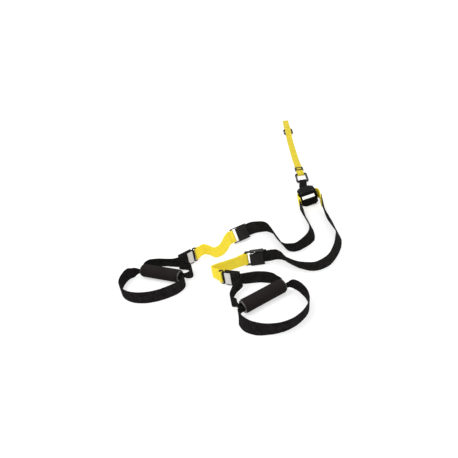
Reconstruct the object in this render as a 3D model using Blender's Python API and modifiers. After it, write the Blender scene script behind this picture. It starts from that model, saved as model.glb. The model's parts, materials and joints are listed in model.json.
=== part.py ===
"""Suspension trainer laid out on the floor: anchor strap, yoke, two legs and two handles.

Standalone Blender 4.5 script in metres, +Z up.  Most of the webbing stands on its edge,
as webbing does when it is laid down in loose curves.  The yoke is the datum of the
layout, and the finished part is centred over the origin with its lowest face at zero.
"""

import math
from dataclasses import dataclass

import bmesh
import bpy
from mathutils import Matrix, Vector

# Fits and webbing shared by every sub-assembly
GAP = 0.0003
STRAP_THICKNESS = 0.0022
STRAP_STEP = 0.013
SETTLING_LENGTH = 0.070
LAYER_PITCH = STRAP_THICKNESS + GAP
CUT_OVERRUN = 0.004
SMALLEST_LENGTH = 0.00001
LAID_LENGTH = 1.38
LEG_WIDTH = 0.038
ADJUSTER_WIDTH = 0.037
HANDLE_WIDTH = 0.034
CRADLE_WIDTH = 0.038

# Yoke: two shells held by four screws over a saddle and a neck pin
YOKE_WIDTH = 0.056
YOKE_LENGTH = 0.060
YOKE_HEIGHT = 0.042
YOKE_WALL = 0.002
YOKE_CORNER = 0.0115
YOKE_EDGE_ROUND = 0.0018
YOKE_NECK_WIDTH = 0.0305
YOKE_TURN = math.radians(4.0)
YOKE_ROLL = math.radians(8.0)
YOKE_CHAMFER = 0.0185
SLOPE_WALL = 0.0026
SADDLE_RADIUS = 0.010
SADDLE_CENTRE_SHARE = 0.06
STRAP_EXIT_WIDTH = 0.0125
STRAP_EXIT_CENTRE_SHARE = 0.03
BOSS_RADIUS = 0.0034
BOSS_ACROSS_SHARE = 0.34
BOSS_ALONG_SHARES = (-0.12, 0.27)
SCREW_RADIUS = 0.0015
SCREW_HEAD_RADIUS = 0.0029
SCREW_HEAD_HEIGHT = 0.0016
SCREW_SOCKET_RADIUS = 0.0012
SCREW_SOCKET_DEPTH = 0.0009
SCREW_LENGTH = 0.034
STRIP_LENGTH = 0.042
STRIP_SHIFT = -0.0025
STRIP_WIDTH = 0.0105
STRIP_DROP = 0.003
STRIP_THICKNESS = 0.0012
NECK_PIN_RADIUS = 0.003
NECK_PIN_LENGTH = 0.038
NECK_PIN_SHARE = 0.385
NECK_RIB_WIDTH = 0.004
NECK_RIB_DEPTH = 0.010
NECK_STRAP_WIDTH = 0.029
NECK_STRAP_END_WIDTH = 0.025

# Centre strap: it arches over the saddle and runs down beside both legs
CENTRE_WIDTH = 0.0372
CENTRE_OVERLAP = 0.016

# Carabiners: a bent bar with a sprung gate in its left side
BAR_RADIUS = 0.004
BAR_CORNER = 0.0058
MAIN_CARABINER_WIDTH = 0.045
MAIN_CARABINER_LENGTH = 0.070
ANCHOR_CARABINER_WIDTH = 0.042
ANCHOR_CARABINER_LENGTH = 0.058
GATE_RADIUS = 0.0032
GATE_HINGE_SHARE = -0.17
GATE_NOSE_SHARE = 0.23
HINGE_PIN_RADIUS = 0.0011
HINGE_TONGUE_LENGTH = 0.008
HINGE_TONGUE_THICKNESS = 0.0026
GATE_SPRING_RADIUS = 0.0011
GATE_SPRING_LENGTH = 0.008
MAIN_CARABINER_ALONG = 0.176
MAIN_CARABINER_ACROSS = 0.0195

# Anchor strap: flat webbing with a sewn loop at each end
ANCHOR_LENGTH = 0.606
ANCHOR_WIDTH = 0.026
ANCHOR_LOOP_WIDTH = 0.024
ANCHOR_TAIL_LOOP_WIDTH = 0.021
ANCHOR_HEADING = math.radians(84.15)
ANCHOR_RETURN_LENGTH = 0.094
ANCHOR_TAIL_LENGTH = 0.123
ANCHOR_TAIL_RETURN = 0.050
ANCHOR_TAIL_SLACK = 0.0032
KEEPER_PLACE = 0.050
KEEPER_WIDTH = 0.0305
KEEPER_LENGTH = 0.025
KEEPER_WALL = 0.0009
KEEPER_CORNER = 0.0014
KEEPER_TRAVEL = 0.006
KEEPER_WINDOW_ACROSS_SHARE = 0.60
KEEPER_WINDOW_ALONG_SHARE = 0.58

# Cam buckles: a frame, a cam on a pin and a spring
BUCKLE_SIDE = 0.0026
BUCKLE_SIDE_GAP = 0.0007
BUCKLE_BODY_LENGTH = 0.038
BUCKLE_FRONT_REACH = 0.0245
BUCKLE_REAR_REACH = 0.025
BUCKLE_BAR_RADIUS = 0.0025
BUCKLE_BASE_THICKNESS = 0.003
BUCKLE_BASE_FRONT = 0.001
BUCKLE_SIDE_RISE = 0.0078
BUCKLE_PRONG_HEIGHT = 0.007
CAM_PIN_RADIUS = 0.0015
CAM_PIN_RISE = 0.0055
CAM_SIDE_GAP = 0.0005
CAM_COVER_THICKNESS = 0.0026
CAM_COVER_FRONT = 0.0150
CAM_COVER_REAR = 0.0215
CAM_NECK_HALF = 0.0034
CAM_SPRING_RADIUS = 0.0029
CAM_SPRING_LENGTH = 0.008
LEG_TAIL_LENGTH = 0.008
LOOP_RETURN_LENGTH = 0.024
RING_RETURN_LENGTH = 0.020

# Rings between the adjusters and the handles
RING_WIRE_RADIUS = 0.002
RING_SPACING = 0.0100
RING_CORNER = 0.0035
RING_SIDE_GAP = 0.0012

# Handles: strap, sewn block, grip and foot cradle
BLOCK_LENGTH = 0.042
BLOCK_HEIGHT = 0.045
BLOCK_THICKNESS = 0.009
BLOCK_ROUND = 0.0018
BLOCK_START = 0.0040
LABEL_LENGTH = 0.017
LABEL_HEIGHT = 0.037
LABEL_THICKNESS = 0.0008
LABEL_PLACE = 0.0045
GRIP_LENGTH = 0.126
GRIP_RADIUS = 0.0185
GRIP_CAP_LENGTH = 0.003
GRIP_CAP_RADIUS = 0.0165
GRIP_FOAM_ROUND = 0.003
TUBE_RADIUS = 0.0142
TUBE_BORE = 0.0122
CAP_BORE = 0.0119
GRIP_STRAP_WIDTH = 0.014
GRIP_STRAP_OFFSET = 0.0077
GRIP_CRADLE_WIDTH = 0.0166
GRIP_CRADLE_OFFSET = 0.007
HANDLE_REACH = 0.136
CRADLE_REACH = 0.122

# Colours: base colour, roughness, metallic
FINISHES = {
    "black_webbing": ((0.016, 0.014, 0.015), 0.85, 0.0),
    "yellow_webbing": ((0.90, 0.66, 0.03), 0.75, 0.0),
    "black_plastic": ((0.013, 0.013, 0.015), 0.42, 0.0),
    "black_foam": ((0.030, 0.025, 0.024), 0.92, 0.0),
    "black_metal": ((0.030, 0.030, 0.033), 0.35, 0.9),
    "steel": ((0.55, 0.55, 0.56), 0.30, 1.0),
    "white_patch": ((0.88, 0.88, 0.87), 0.55, 0.0),
    "label_cloth": ((0.62, 0.61, 0.60), 0.80, 0.0),
}

UP = Vector((0.0, 0.0, 1.0))
RIGHT = Vector((1.0, 0.0, 0.0))


@dataclass(frozen=True)
class Knot:
    """One station of a strap: its middle, the direction of its width, and its width."""

    point: Vector
    across: Vector
    width: float


@dataclass(frozen=True)
class Carabiner:
    """One carabiner's outer size."""

    name: str
    width: float
    length: float

    @property
    def reach(self):
        """From the middle to the axis of either end bar."""
        return self.length / 2 - BAR_RADIUS

    @property
    def hinge(self):
        """The gate's pin in the carabiner's own coordinates."""
        return Vector((BAR_RADIUS - self.width / 2, self.length * GATE_HINGE_SHARE, 0.0))


MAIN_CARABINER = Carabiner("main_carabiner", MAIN_CARABINER_WIDTH, MAIN_CARABINER_LENGTH)
ANCHOR_CARABINER = Carabiner("anchor_carabiner", ANCHOR_CARABINER_WIDTH, ANCHOR_CARABINER_LENGTH)


@dataclass(frozen=True)
class Side:
    """Where one side's buckle, ring and grip lie, and how its straps run between them.

    Places are shares of the laid length from the yoke, headings are in degrees.  A route
    lists (along, across) as shares of the straight line between the strap's two ends, and
    for a leg also the degrees that it leans from upright there.
    """

    name: str
    exit_share: tuple
    leg_start_share: tuple
    leg_route_shares: tuple
    buckle_share: tuple
    buckle_heading: float
    buckle_lean: float
    adjuster_leave: float
    adjuster_route_shares: tuple
    adjuster_arrive: float
    ring_share: tuple
    ring_heading: float
    grip_share: tuple
    grip_heading: float
    plus_is_right: bool
    plus_turn_shares: tuple
    minus_turn_shares: tuple
    plus_leg_shares: tuple
    minus_leg_shares: tuple
    cradle_shares: tuple


# A strap's turns outside a grip: (reach, drift) as shares of the grip's radius, then how
# far it has spread from its narrow width to its full one
TIGHT_TURN_SHARES = ((0.20, 0.08, 0.05), (0.28, 0.27, 0.20), (0.24, 0.50, 0.45), (0.11, 0.74, 0.70))
WIDE_TURN_SHARES = ((0.60, -0.05, 0.15), (1.05, 0.10, 0.45), (1.30, 0.60, 0.75), (0.95, 1.45, 1.0))
CRADLE_MOUTH_SHARES = (
    (0.0, 0.0, 0.0),
    (0.22, 0.0, 0.0),
    (0.60, 0.03, 0.10),
    (0.95, 0.18, 0.45),
    (1.17, 0.56, 0.75),
)

LEFT = Side(
    name="left",
    exit_share=((0.55, 0.02), (0.61, -0.07), (0.625, -0.25), (0.607, -0.45)),
    leg_start_share=(-0.634, -0.667),
    leg_route_shares=(
        (0.08, 0.14, -4.0),
        (0.15, 0.27, -8.0),
        (0.24, 0.42, -16.0),
        (0.34, 0.62, -22.0),
        (0.51, 0.81, -22.0),
        (0.73, 0.87, 0.0),
        (0.88, 0.86, 15.0),
        (0.95, 0.77, 23.0),
        (0.94, 0.64, 30.0),
        (0.88, 0.46, 30.0),
        (0.81, 0.26, 20.0),
        (0.82, 0.11, 5.0),
        (0.9, 0.04, -10.0),
    ),
    buckle_share=(-0.1785, -0.1125),
    buckle_heading=205.0,
    buckle_lean=30.0,
    adjuster_leave=236.0,
    adjuster_route_shares=(
        (0.2, 0.13, -20.0),
        (0.41, 0.26, -8.0),
        (0.6, 0.26, 0.0),
        (0.69, 0.06, 0.0),
        (0.8, -0.08, 0.0),
    ),
    adjuster_arrive=222.0,
    ring_share=(-0.2807, -0.1645),
    ring_heading=210.0,
    grip_share=(0.831, -0.004),
    grip_heading=-59.4,
    plus_is_right=True,
    plus_turn_shares=TIGHT_TURN_SHARES,
    minus_turn_shares=WIDE_TURN_SHARES,
    plus_leg_shares=(
        (0.22, -0.03, 10.0),
        (0.46, -0.1, 12.0),
        (0.7, -0.12, 10.0),
        (0.9, -0.07, 5.0),
    ),
    minus_leg_shares=(
        (-0.04, -0.08, 0.0),
        (0.04, -0.15, 0.0),
        (0.17, -0.12, 0.0),
        (0.43, 0.05, 0.0),
        (0.74, 0.1, 0.0),
    ),
    cradle_shares=(
        (0.745, 0.20, 0.0),
        (0.76, 0.41, 0.0),
        (0.68, 0.65, 0.0),
        (0.52, 0.82, 0.0),
        (0.28, 0.91, 0.0),
        (0.00, 0.89, 0.0),
        (-0.28, 0.76, 0.0),
        (-0.50, 0.56, 0.0),
        (-0.64, 0.36, 0.0),
    ),
)

RIGHT_SIDE = Side(
    name="right",
    exit_share=((0.55, 0.02), (0.63, -0.08), (0.65, -0.27), (0.595, -0.52)),
    leg_start_share=(0.625, -0.75),
    leg_route_shares=(
        (0.07, 0.05, -4.0),
        (0.2, 0.14, -10.0),
        (0.3, 0.23, -14.0),
        (0.4, 0.32, -19.0),
        (0.49, 0.39, -24.0),
        (0.59, 0.43, -24.0),
        (0.72, 0.46, -14.0),
        (0.88, 0.46, 0.0),
        (0.98, 0.4, 14.0),
        (1.01, 0.29, 22.0),
        (0.99, 0.16, 26.0),
        (0.96, 0.07, 14.0),
        (0.97, 0.03, 4.0),
    ),
    buckle_share=(-0.1585, -0.2115),
    buckle_heading=176.0,
    buckle_lean=0.0,
    adjuster_leave=198.0,
    adjuster_route_shares=(
        (0.42, -0.22, 0.0),
        (0.81, -0.39, 0.0),
        (0.93, -0.43, 0.0),
        (1.0, -0.42, 0.0),
        (1.03, -0.35, 0.0),
        (1.03, -0.23, 0.0),
    ),
    adjuster_arrive=-64.0,
    ring_share=(-0.2291, -0.2580),
    ring_heading=-26.0,
    grip_share=(0.942, -0.344),
    grip_heading=232.4,
    plus_is_right=True,
    plus_turn_shares=TIGHT_TURN_SHARES,
    minus_turn_shares=TIGHT_TURN_SHARES,
    plus_leg_shares=(
        (0.03, 0.04, 0.0),
        (0.09, 0.05, 0.0),
        (0.17, 0.01, 0.0),
        (0.33, -0.11, 0.0),
        (0.6, -0.19, 0.0),
        (0.93, -0.16, 0.0),
    ),
    minus_leg_shares=(
        (0.18, 0.07, 10.0),
        (0.41, 0.15, 12.0),
        (0.64, 0.15, 10.0),
        (0.85, 0.09, 5.0),
    ),
    cradle_shares=(
        (0.715, 0.23, 10.0),
        (0.73, 0.43, 14.0),
        (0.64, 0.66, 8.0),
        (0.46, 0.84, -4.0),
        (0.24, 0.96, -10.0),
        (0.00, 1.00, -12.0),
        (-0.24, 0.96, -10.0),
        (-0.47, 0.84, -6.0),
        (-0.63, 0.62, -2.0),
        (-0.69, 0.36, 0.0),
    ),
)

SIDES = (LEFT, RIGHT_SIDE)

# Anchor strap's sideways drift, as (along, across) shares of its length
ANCHOR_DRIFT_SHARES = ((0.0, 0.0), (0.30, 0.005), (0.55, 0.006), (0.8, 0.002), (1.0, 0.0))


def clear_scene():
    """Remove whatever the file opened with."""
    for old in list(bpy.data.objects):
        bpy.data.objects.remove(old, do_unlink=True)


def new_collection(name):
    """Add a collection to the scene."""
    made = bpy.data.collections.new(name)
    bpy.context.scene.collection.children.link(made)
    return made


def finish(name):
    """The Principled material of that name, made once."""
    known = bpy.data.materials.get(name)
    if known:
        return known
    colour, roughness, metallic = FINISHES[name]
    made = bpy.data.materials.new(name)
    made.use_nodes = True
    shader = made.node_tree.nodes["Principled BSDF"]
    shader.inputs["Base Color"].default_value = (*colour, 1.0)
    shader.inputs["Roughness"].default_value = roughness
    shader.inputs["Metallic"].default_value = metallic
    made.diffuse_color = (*colour, 1.0)
    return made


def own_finish(thing, name):
    """Give an object its own copy of a finish."""
    made = finish(name).copy()
    made.name = f"{thing.name}_{name}"
    thing.data.materials.clear()
    thing.data.materials.append(made)


def add_empty(name, matrix, parent):
    """An empty that carries one rigid group of pieces."""
    made = bpy.data.objects.new(name, None)
    made.empty_display_size = GRIP_RADIUS
    parts.objects.link(made)
    made.parent = parent
    made.matrix_basis = matrix
    return made


def add_piece(name, mesh, finish_name, parent, place=Matrix.Identity(4)):
    """Link a finished mesh as one named piece.

    The mesh is in the coordinates of place, and place is in those of the layout.
    """
    made = bpy.data.objects.new(name, mesh)
    mesh.name = name
    parts.objects.link(made)
    own_finish(made, finish_name)
    home = layout_matrix(parent)
    mesh.transform(home.inverted() @ place)
    mesh.shade_smooth()
    mesh.set_sharp_from_angle(angle=math.radians(35.0))
    made.parent = parent
    return made


def layout_matrix(thing):
    """The object's place in the layout, from its chain of parents."""
    total = Matrix.Identity(4)
    while thing is not None:
        total = thing.matrix_basis @ total
        thing = thing.parent
    return total


def mesh_from(built):
    """Close a bmesh and return it as a mesh with its faces pointing out."""
    bmesh.ops.remove_doubles(built, verts=built.verts, dist=SMALLEST_LENGTH)
    bmesh.ops.recalc_face_normals(built, faces=built.faces)
    made = bpy.data.meshes.new("mesh")
    built.to_mesh(made)
    built.free()
    return made


def evaluated_mesh(thing):
    """The object's mesh with its modifiers and curve settings applied."""
    graph = bpy.context.evaluated_depsgraph_get()
    made = bpy.data.meshes.new_from_object(thing.evaluated_get(graph), depsgraph=graph)
    made.transform(thing.matrix_world)
    return made


def box_mesh(low, high, rounding=0.0):
    """A box between two corners, its edges rounded."""
    built = bmesh.new()
    bmesh.ops.create_cube(built, size=1.0)
    size = Vector(high) - Vector(low)
    middle = (Vector(high) + Vector(low)) / 2
    bmesh.ops.scale(built, vec=size, verts=built.verts)
    bmesh.ops.translate(built, vec=middle, verts=built.verts)
    if rounding:
        bmesh.ops.bevel(built, geom=built.edges, offset=rounding, segments=2, profile=0.6, affect="EDGES")
    return mesh_from(built)


def rod_mesh(radius, start, end, sides=20):
    """A straight round rod between two points."""
    built = bmesh.new()
    start, end = Vector(start), Vector(end)
    length = (end - start).length
    bmesh.ops.create_cone(
        built, cap_ends=True, segments=sides, radius1=radius, radius2=radius, depth=length
    )
    turn = UP.rotation_difference((end - start).normalized()).to_matrix().to_4x4()
    bmesh.ops.transform(built, matrix=Matrix.Translation((start + end) / 2) @ turn, verts=built.verts)
    return mesh_from(built)


def plate_mesh(outline, thickness, rounding=0.0):
    """A flat plate in the XY plane, centred in Z, from a closed outline."""
    curve = bpy.data.curves.new("outline", "CURVE")
    curve.dimensions = "2D"
    curve.fill_mode = "BOTH"
    curve.extrude = thickness / 2
    line = curve.splines.new("POLY")
    line.points.add(len(outline) - 1)
    for point, (x, y) in zip(line.points, outline):
        point.co = (x, y, 0.0, 1.0)
    line.use_cyclic_u = True
    holder = bpy.data.objects.new("outline", curve)
    guides.objects.link(holder)
    bpy.context.view_layer.update()
    made = evaluated_mesh(holder)
    bpy.data.objects.remove(holder)
    built = bmesh.new()
    built.from_mesh(made)
    bmesh.ops.remove_doubles(built, verts=built.verts, dist=SMALLEST_LENGTH)
    bmesh.ops.dissolve_limit(
        built, angle_limit=math.radians(1.0), verts=built.verts, edges=built.edges
    )
    if rounding:
        sharp = [edge for edge in built.edges if edge.calc_face_angle(0.0) > math.radians(30.0)]
        bmesh.ops.bevel(built, geom=sharp, offset=rounding, segments=2, profile=0.6, affect="EDGES")
    return mesh_from(built)


def turned_mesh(profile, sides=40):
    """Turn a closed profile of (radius, height) points about Z."""
    mesh = bpy.data.meshes.new("profile")
    points = [(radius, 0.0, height) for radius, height in profile]
    count = len(points)
    edges = [(i, (i + 1) % count) for i in range(count)]
    if min(radius for radius, height in profile) < SMALLEST_LENGTH:
        edges = edges[:-1]
    mesh.from_pydata(points, edges, [])
    holder = bpy.data.objects.new("profile", mesh)
    guides.objects.link(holder)
    screw = holder.modifiers.new("turn", "SCREW")
    screw.axis = "Z"
    screw.steps = sides
    screw.render_steps = sides
    screw.use_merge_vertices = True
    screw.merge_threshold = SMALLEST_LENGTH
    bpy.context.view_layer.update()
    made = evaluated_mesh(holder)
    bpy.data.objects.remove(holder)
    built = bmesh.new()
    built.from_mesh(made)
    return mesh_from(built)


def wire_mesh(points, radius, cyclic=False, bevel_resolution=3):
    """A round bar along a list of points, its ends capped."""
    curve = bpy.data.curves.new("wire", "CURVE")
    curve.dimensions = "3D"
    curve.bevel_depth = radius
    curve.bevel_resolution = bevel_resolution
    curve.use_fill_caps = True
    line = curve.splines.new("POLY")
    line.points.add(len(points) - 1)
    for point, place in zip(line.points, points):
        point.co = (*place, 1.0)
    line.use_cyclic_u = cyclic
    holder = bpy.data.objects.new("wire", curve)
    guides.objects.link(holder)
    bpy.context.view_layer.update()
    made = evaluated_mesh(holder)
    bpy.data.objects.remove(holder)
    built = bmesh.new()
    built.from_mesh(made)
    return mesh_from(built)


def combined(base, others, operation):
    """Join meshes to the base, or cut them from it, one after another."""
    holder = bpy.data.objects.new("base", base)
    guides.objects.link(holder)
    helpers = []
    for index, other in enumerate(others):
        helper = bpy.data.objects.new(f"helper_{index}", other)
        guides.objects.link(helper)
        helper.hide_render = True
        helper.display_type = "WIRE"
        step = holder.modifiers.new(f"step_{index}", "BOOLEAN")
        step.operation = operation
        step.solver = "EXACT"
        step.object = helper
        helpers.append(helper)
    bpy.context.view_layer.update()
    made = evaluated_mesh(holder)
    for helper in helpers + [holder]:
        bpy.data.objects.remove(helper)
    built = bmesh.new()
    built.from_mesh(made)
    bmesh.ops.dissolve_limit(
        built, angle_limit=math.radians(0.2), verts=built.verts, edges=built.edges
    )
    return mesh_from(built)


def arc_points(centre, x_axis, y_axis, radius, start, end, count):
    """Points on an arc in the plane of two unit vectors, angles in degrees."""
    found = []
    for index in range(count + 1):
        angle = math.radians(start + (end - start) * index / count)
        offset = x_axis * math.cos(angle) + y_axis * math.sin(angle)
        found.append(centre + offset * radius)
    return found


def arc_knots(centre, x_axis, y_axis, radius, angles, across, width, count=8):
    """A strap's stations round a bar."""
    points = arc_points(centre, x_axis, y_axis, radius, angles[0], angles[1], count)
    return [Knot(point, across, width) for point in points]


def heading_vector(degrees):
    """The level unit vector at that heading, counted from +X towards +Y."""
    angle = math.radians(degrees)
    return Vector((math.cos(angle), math.sin(angle), 0.0))


def left_of(direction):
    """The level unit vector to the left of a direction."""
    return UP.cross(direction).normalized()


def route_knots(start, end, route, width):
    """Stations of a strap on its edge, placed along and beside the line from start to end.

    Each entry of the route is (along, across, lean).  The first two are shares of that
    line.  The lean is in degrees from upright towards the left of the strap's travel.
    The strap sinks to the floor within the settling length of either end.
    """
    line = Vector((end.x - start.x, end.y - start.y, 0.0))
    side = UP.cross(line)
    base = Vector((start.x, start.y, 0.0))
    points = [base + line * along + side * across for along, across, lean in route]
    chain = [base] + points + [base + line]
    found = []
    for index, (along, across, lean) in enumerate(route):
        left = left_of(chain[index + 2] - chain[index])
        angle = math.radians(lean)
        width_way = UP * math.cos(angle) + left * math.sin(angle)
        knot = settled(Knot(points[index], width_way, width))
        for held in (start, end):
            reach = Vector((held.x - knot.point.x, held.y - knot.point.y)).length
            sunk = max(0.0, 1.0 - reach / SETTLING_LENGTH)
            knot.point.z += max(0.0, held.z - width / 2) * sunk * sunk
        found.append(knot)
    return found


def settled(knot):
    """The station, raised where its lower edge would be under the floor."""
    upright = knot.across.z
    rise = (knot.width * upright + STRAP_THICKNESS * math.sqrt(max(0.0, 1.0 - upright * upright))) / 2
    point = knot.point
    return Knot(Vector((point.x, point.y, max(point.z, rise))), knot.across, knot.width)


def smooth(knots, closed=False, step=STRAP_STEP):
    """Read stations from a smooth curve through the knots."""
    count = len(knots)
    last = count if closed else count - 1

    def slope(index):
        before = knots[(index - 1) % count] if closed or index > 0 else knots[index]
        after = knots[(index + 1) % count] if closed or index < count - 1 else knots[index]
        here = knots[index]
        run_in = max((here.point - before.point).length, SMALLEST_LENGTH)
        run_out = max((after.point - here.point).length, SMALLEST_LENGTH)
        speed_in = (here.point - before.point) / run_in
        speed_out = (after.point - here.point) / run_out
        if before is here:
            return speed_out
        if after is here:
            return speed_in
        return (speed_in * run_out + speed_out * run_in) / (run_in + run_out)

    found = []
    for index in range(last):
        first, second = knots[index], knots[(index + 1) % count]
        run = (second.point - first.point).length
        parts_count = max(1, math.ceil(run / step - 0.3))
        start_pull, end_pull = slope(index) * run, slope((index + 1) % count) * run
        for part in range(parts_count):
            u = part / parts_count
            v = 1.0 - u
            point = (
                first.point * (v * v * (1.0 + 2.0 * u))
                + start_pull * (u * v * v)
                + second.point * (u * u * (1.0 + 2.0 * v))
                - end_pull * (u * u * v)
            )
            across = (first.across * v + second.across * u).normalized()
            found.append(settled(Knot(point, across, first.width * v + second.width * u)))
    if not closed:
        found.append(knots[-1])
    return found


def travel(stations, index, closed=False):
    """The strap's direction at one station."""
    count = len(stations)
    if closed:
        ahead, behind = stations[(index + 1) % count], stations[(index - 1) % count]
    else:
        ahead, behind = stations[min(index + 1, count - 1)], stations[max(index - 1, 0)]
    return (ahead.point - behind.point).normalized()


def offset_run(stations, distance):
    """The same run moved sideways, to the left of its direction."""
    found = []
    for index, here in enumerate(stations):
        side = here.across.cross(travel(stations, index)).normalized()
        found.append(Knot(here.point + side * distance, here.across, here.width))
    return found


def strap_mesh(stations, closed=False):
    """Loft a flat strap through its stations."""
    built = bmesh.new()
    rings = []
    for index, here in enumerate(stations):
        forward = travel(stations, index, closed)
        face = forward.cross(here.across).normalized()
        half_width = here.across * here.width / 2
        half_depth = face * STRAP_THICKNESS / 2
        corners = (
            here.point - half_width - half_depth,
            here.point + half_width - half_depth,
            here.point + half_width + half_depth,
            here.point - half_width + half_depth,
        )
        rings.append([built.verts.new(corner) for corner in corners])
    spans = list(zip(rings, rings[1:]))
    if closed:
        spans.append((rings[-1], rings[0]))
    else:
        built.faces.new(rings[0])
        built.faces.new(rings[-1])
    for before, after in spans:
        for corner in range(4):
            beside = (corner + 1) % 4
            built.faces.new((before[corner], before[beside], after[beside], after[corner]))
    bmesh.ops.triangulate(built, faces=built.faces)
    return mesh_from(built)


def first_stretch(stations, length):
    """The stations within a length of the start."""
    found = [stations[0]]
    total = 0.0
    for before, after in zip(stations, stations[1:]):
        total += (after.point - before.point).length
        if total > length:
            break
        found.append(after)
    return found


# Yoke

def yoke_outline(inset):
    """The yoke's eight-sided outline, drawn in by the inset."""
    half_width = YOKE_WIDTH / 2 - inset
    half_length = YOKE_LENGTH / 2 - inset
    cut = YOKE_CORNER - inset * (2.0 - math.sqrt(2.0))
    return (
        (half_width, -half_length + cut),
        (half_width, half_length - cut),
        (half_width - cut, half_length),
        (cut - half_width, half_length),
        (-half_width, half_length - cut),
        (-half_width, cut - half_length),
        (cut - half_width, -half_length),
        (half_width - cut, -half_length),
    )


def boss_places():
    """The four screw places in the yoke's plan."""
    across = YOKE_WIDTH * BOSS_ACROSS_SHARE
    return [(sign * across, YOKE_LENGTH * share) for share in BOSS_ALONG_SHARES for sign in (-1, 1)]


def strip_frame():
    """The middle of the sloping face over the near edge, and its turn."""
    reach = YOKE_CHAMFER / 2
    middle = Vector((0.0, -YOKE_LENGTH / 2 + reach, YOKE_HEIGHT / 2 - reach))
    slope = Matrix.Translation(middle) @ Matrix.Rotation(math.radians(45.0), 4, "X")
    return slope @ Matrix.Translation((STRIP_SHIFT, -STRIP_DROP, 0.0))


def yoke_shell_mesh(is_upper):
    """One half of the housing, with its bosses, ribs and slots."""
    sign = 1.0 if is_upper else -1.0
    outer = plate_mesh(yoke_outline(0.0), YOKE_HEIGHT, YOKE_EDGE_ROUND)
    inner = plate_mesh(yoke_outline(YOKE_WALL), YOKE_HEIGHT - 2 * YOKE_WALL)
    inset_slope = box_mesh((-YOKE_WIDTH, -YOKE_LENGTH, -SLOPE_WALL), (YOKE_WIDTH, YOKE_LENGTH, YOKE_LENGTH))
    inset_slope.transform(strip_frame())
    cutters = [combined(inner, [inset_slope], "DIFFERENCE") if is_upper else inner]
    exit_y = YOKE_LENGTH * STRAP_EXIT_CENTRE_SHARE
    exit_half = STRAP_EXIT_WIDTH / 2
    exit_height = YOKE_HEIGHT / 2 - YOKE_WALL
    wide = YOKE_WIDTH / 2 + CUT_OVERRUN
    cutters.append(
        box_mesh((-wide, exit_y - exit_half, -exit_height), (wide, exit_y + exit_half, exit_height))
    )
    neck_half = YOKE_NECK_WIDTH / 2
    neck_high = NECK_PIN_RADIUS + STRAP_THICKNESS + 2 * GAP
    far = YOKE_LENGTH / 2 + CUT_OVERRUN
    neck_start = YOKE_LENGTH / 2 - YOKE_WALL - CUT_OVERRUN
    cutters.append(
        box_mesh((-neck_half, neck_start, -neck_high - CUT_OVERRUN), (neck_half, far, neck_high))
    )
    shell = combined(outer, cutters, "DIFFERENCE")
    posts = []
    floor = YOKE_HEIGHT / 2 - YOKE_WALL / 2
    for x, y in boss_places():
        posts.append(rod_mesh(BOSS_RADIUS, (x, y, -floor), (x, y, floor), 16))
    pin_y = YOKE_LENGTH * NECK_PIN_SHARE
    for end in (-1.0, 1.0):
        rib_x = end * (NECK_PIN_LENGTH / 2 - NECK_RIB_WIDTH / 2 + GAP)
        posts.append(
            box_mesh(
                (rib_x - NECK_RIB_WIDTH / 2, pin_y - NECK_RIB_DEPTH / 2, -floor),
                (rib_x + NECK_RIB_WIDTH / 2, pin_y + NECK_RIB_DEPTH / 2, floor),
            )
        )
    shell = combined(shell, posts, "UNION")
    tall = YOKE_HEIGHT
    split = GAP / 2 * sign
    if is_upper:
        keep_from = box_mesh((-wide, -tall, -tall), (wide, tall, split))
    else:
        keep_from = box_mesh((-wide, -tall, split), (wide, tall, tall))
    pin_half = NECK_PIN_LENGTH / 2 + GAP
    holes = [keep_from]
    holes.append(rod_mesh(NECK_PIN_RADIUS + GAP, (-pin_half, pin_y, 0.0), (pin_half, pin_y, 0.0), 20))
    top = YOKE_HEIGHT / 2
    seat = top - SCREW_HEAD_HEIGHT - GAP
    for x, y in boss_places():
        holes.append(rod_mesh(SCREW_RADIUS + GAP, (x, y, top - SCREW_LENGTH - GAP), (x, y, tall), 12))
        holes.append(rod_mesh(SCREW_HEAD_RADIUS + GAP, (x, y, seat), (x, y, tall), 16))
    if is_upper:
        slope = strip_frame()
        chamfer = box_mesh((-wide, -YOKE_LENGTH, 0.0), (wide, YOKE_LENGTH, YOKE_LENGTH))
        chamfer.transform(slope)
        holes.append(chamfer)
        pocket = box_mesh(
            (-STRIP_LENGTH / 2 - GAP, -STRIP_WIDTH / 2 - GAP, -STRIP_THICKNESS),
            (STRIP_LENGTH / 2 + GAP, STRIP_WIDTH / 2 + GAP, CUT_OVERRUN),
        )
        pocket.transform(slope)
        holes.append(pocket)
    return combined(shell, holes, "DIFFERENCE")


def screw_mesh():
    """A pan screw hanging down from its head's top face at zero, with a round socket."""
    head = SCREW_HEAD_RADIUS
    profile = (
        (0.0, -SCREW_SOCKET_DEPTH),
        (SCREW_SOCKET_RADIUS, -SCREW_SOCKET_DEPTH),
        (SCREW_SOCKET_RADIUS, 0.0),
        (head * 0.8, 0.0),
        (head, -SCREW_HEAD_HEIGHT * 0.4),
        (head, -SCREW_HEAD_HEIGHT),
        (SCREW_RADIUS, -SCREW_HEAD_HEIGHT),
        (SCREW_RADIUS, SCREW_RADIUS - SCREW_LENGTH),
        (0.0, -SCREW_LENGTH),
    )
    return turned_mesh(profile, 16)


def saddle_mesh():
    """The block that the centre strap arches over: round above, flat below."""
    centre_y = YOKE_LENGTH * SADDLE_CENTRE_SHARE
    outline = []
    for index in range(13):
        angle = math.pi * index / 12
        outline.append((SADDLE_RADIUS * math.cos(angle), centre_y + SADDLE_RADIUS * math.sin(angle)))
    outline.append((-SADDLE_RADIUS * 0.7, centre_y - SADDLE_RADIUS))
    outline.append((SADDLE_RADIUS * 0.7, centre_y - SADDLE_RADIUS))
    return plate_mesh(outline, YOKE_HEIGHT - 2 * YOKE_WALL - 2 * GAP)


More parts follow.
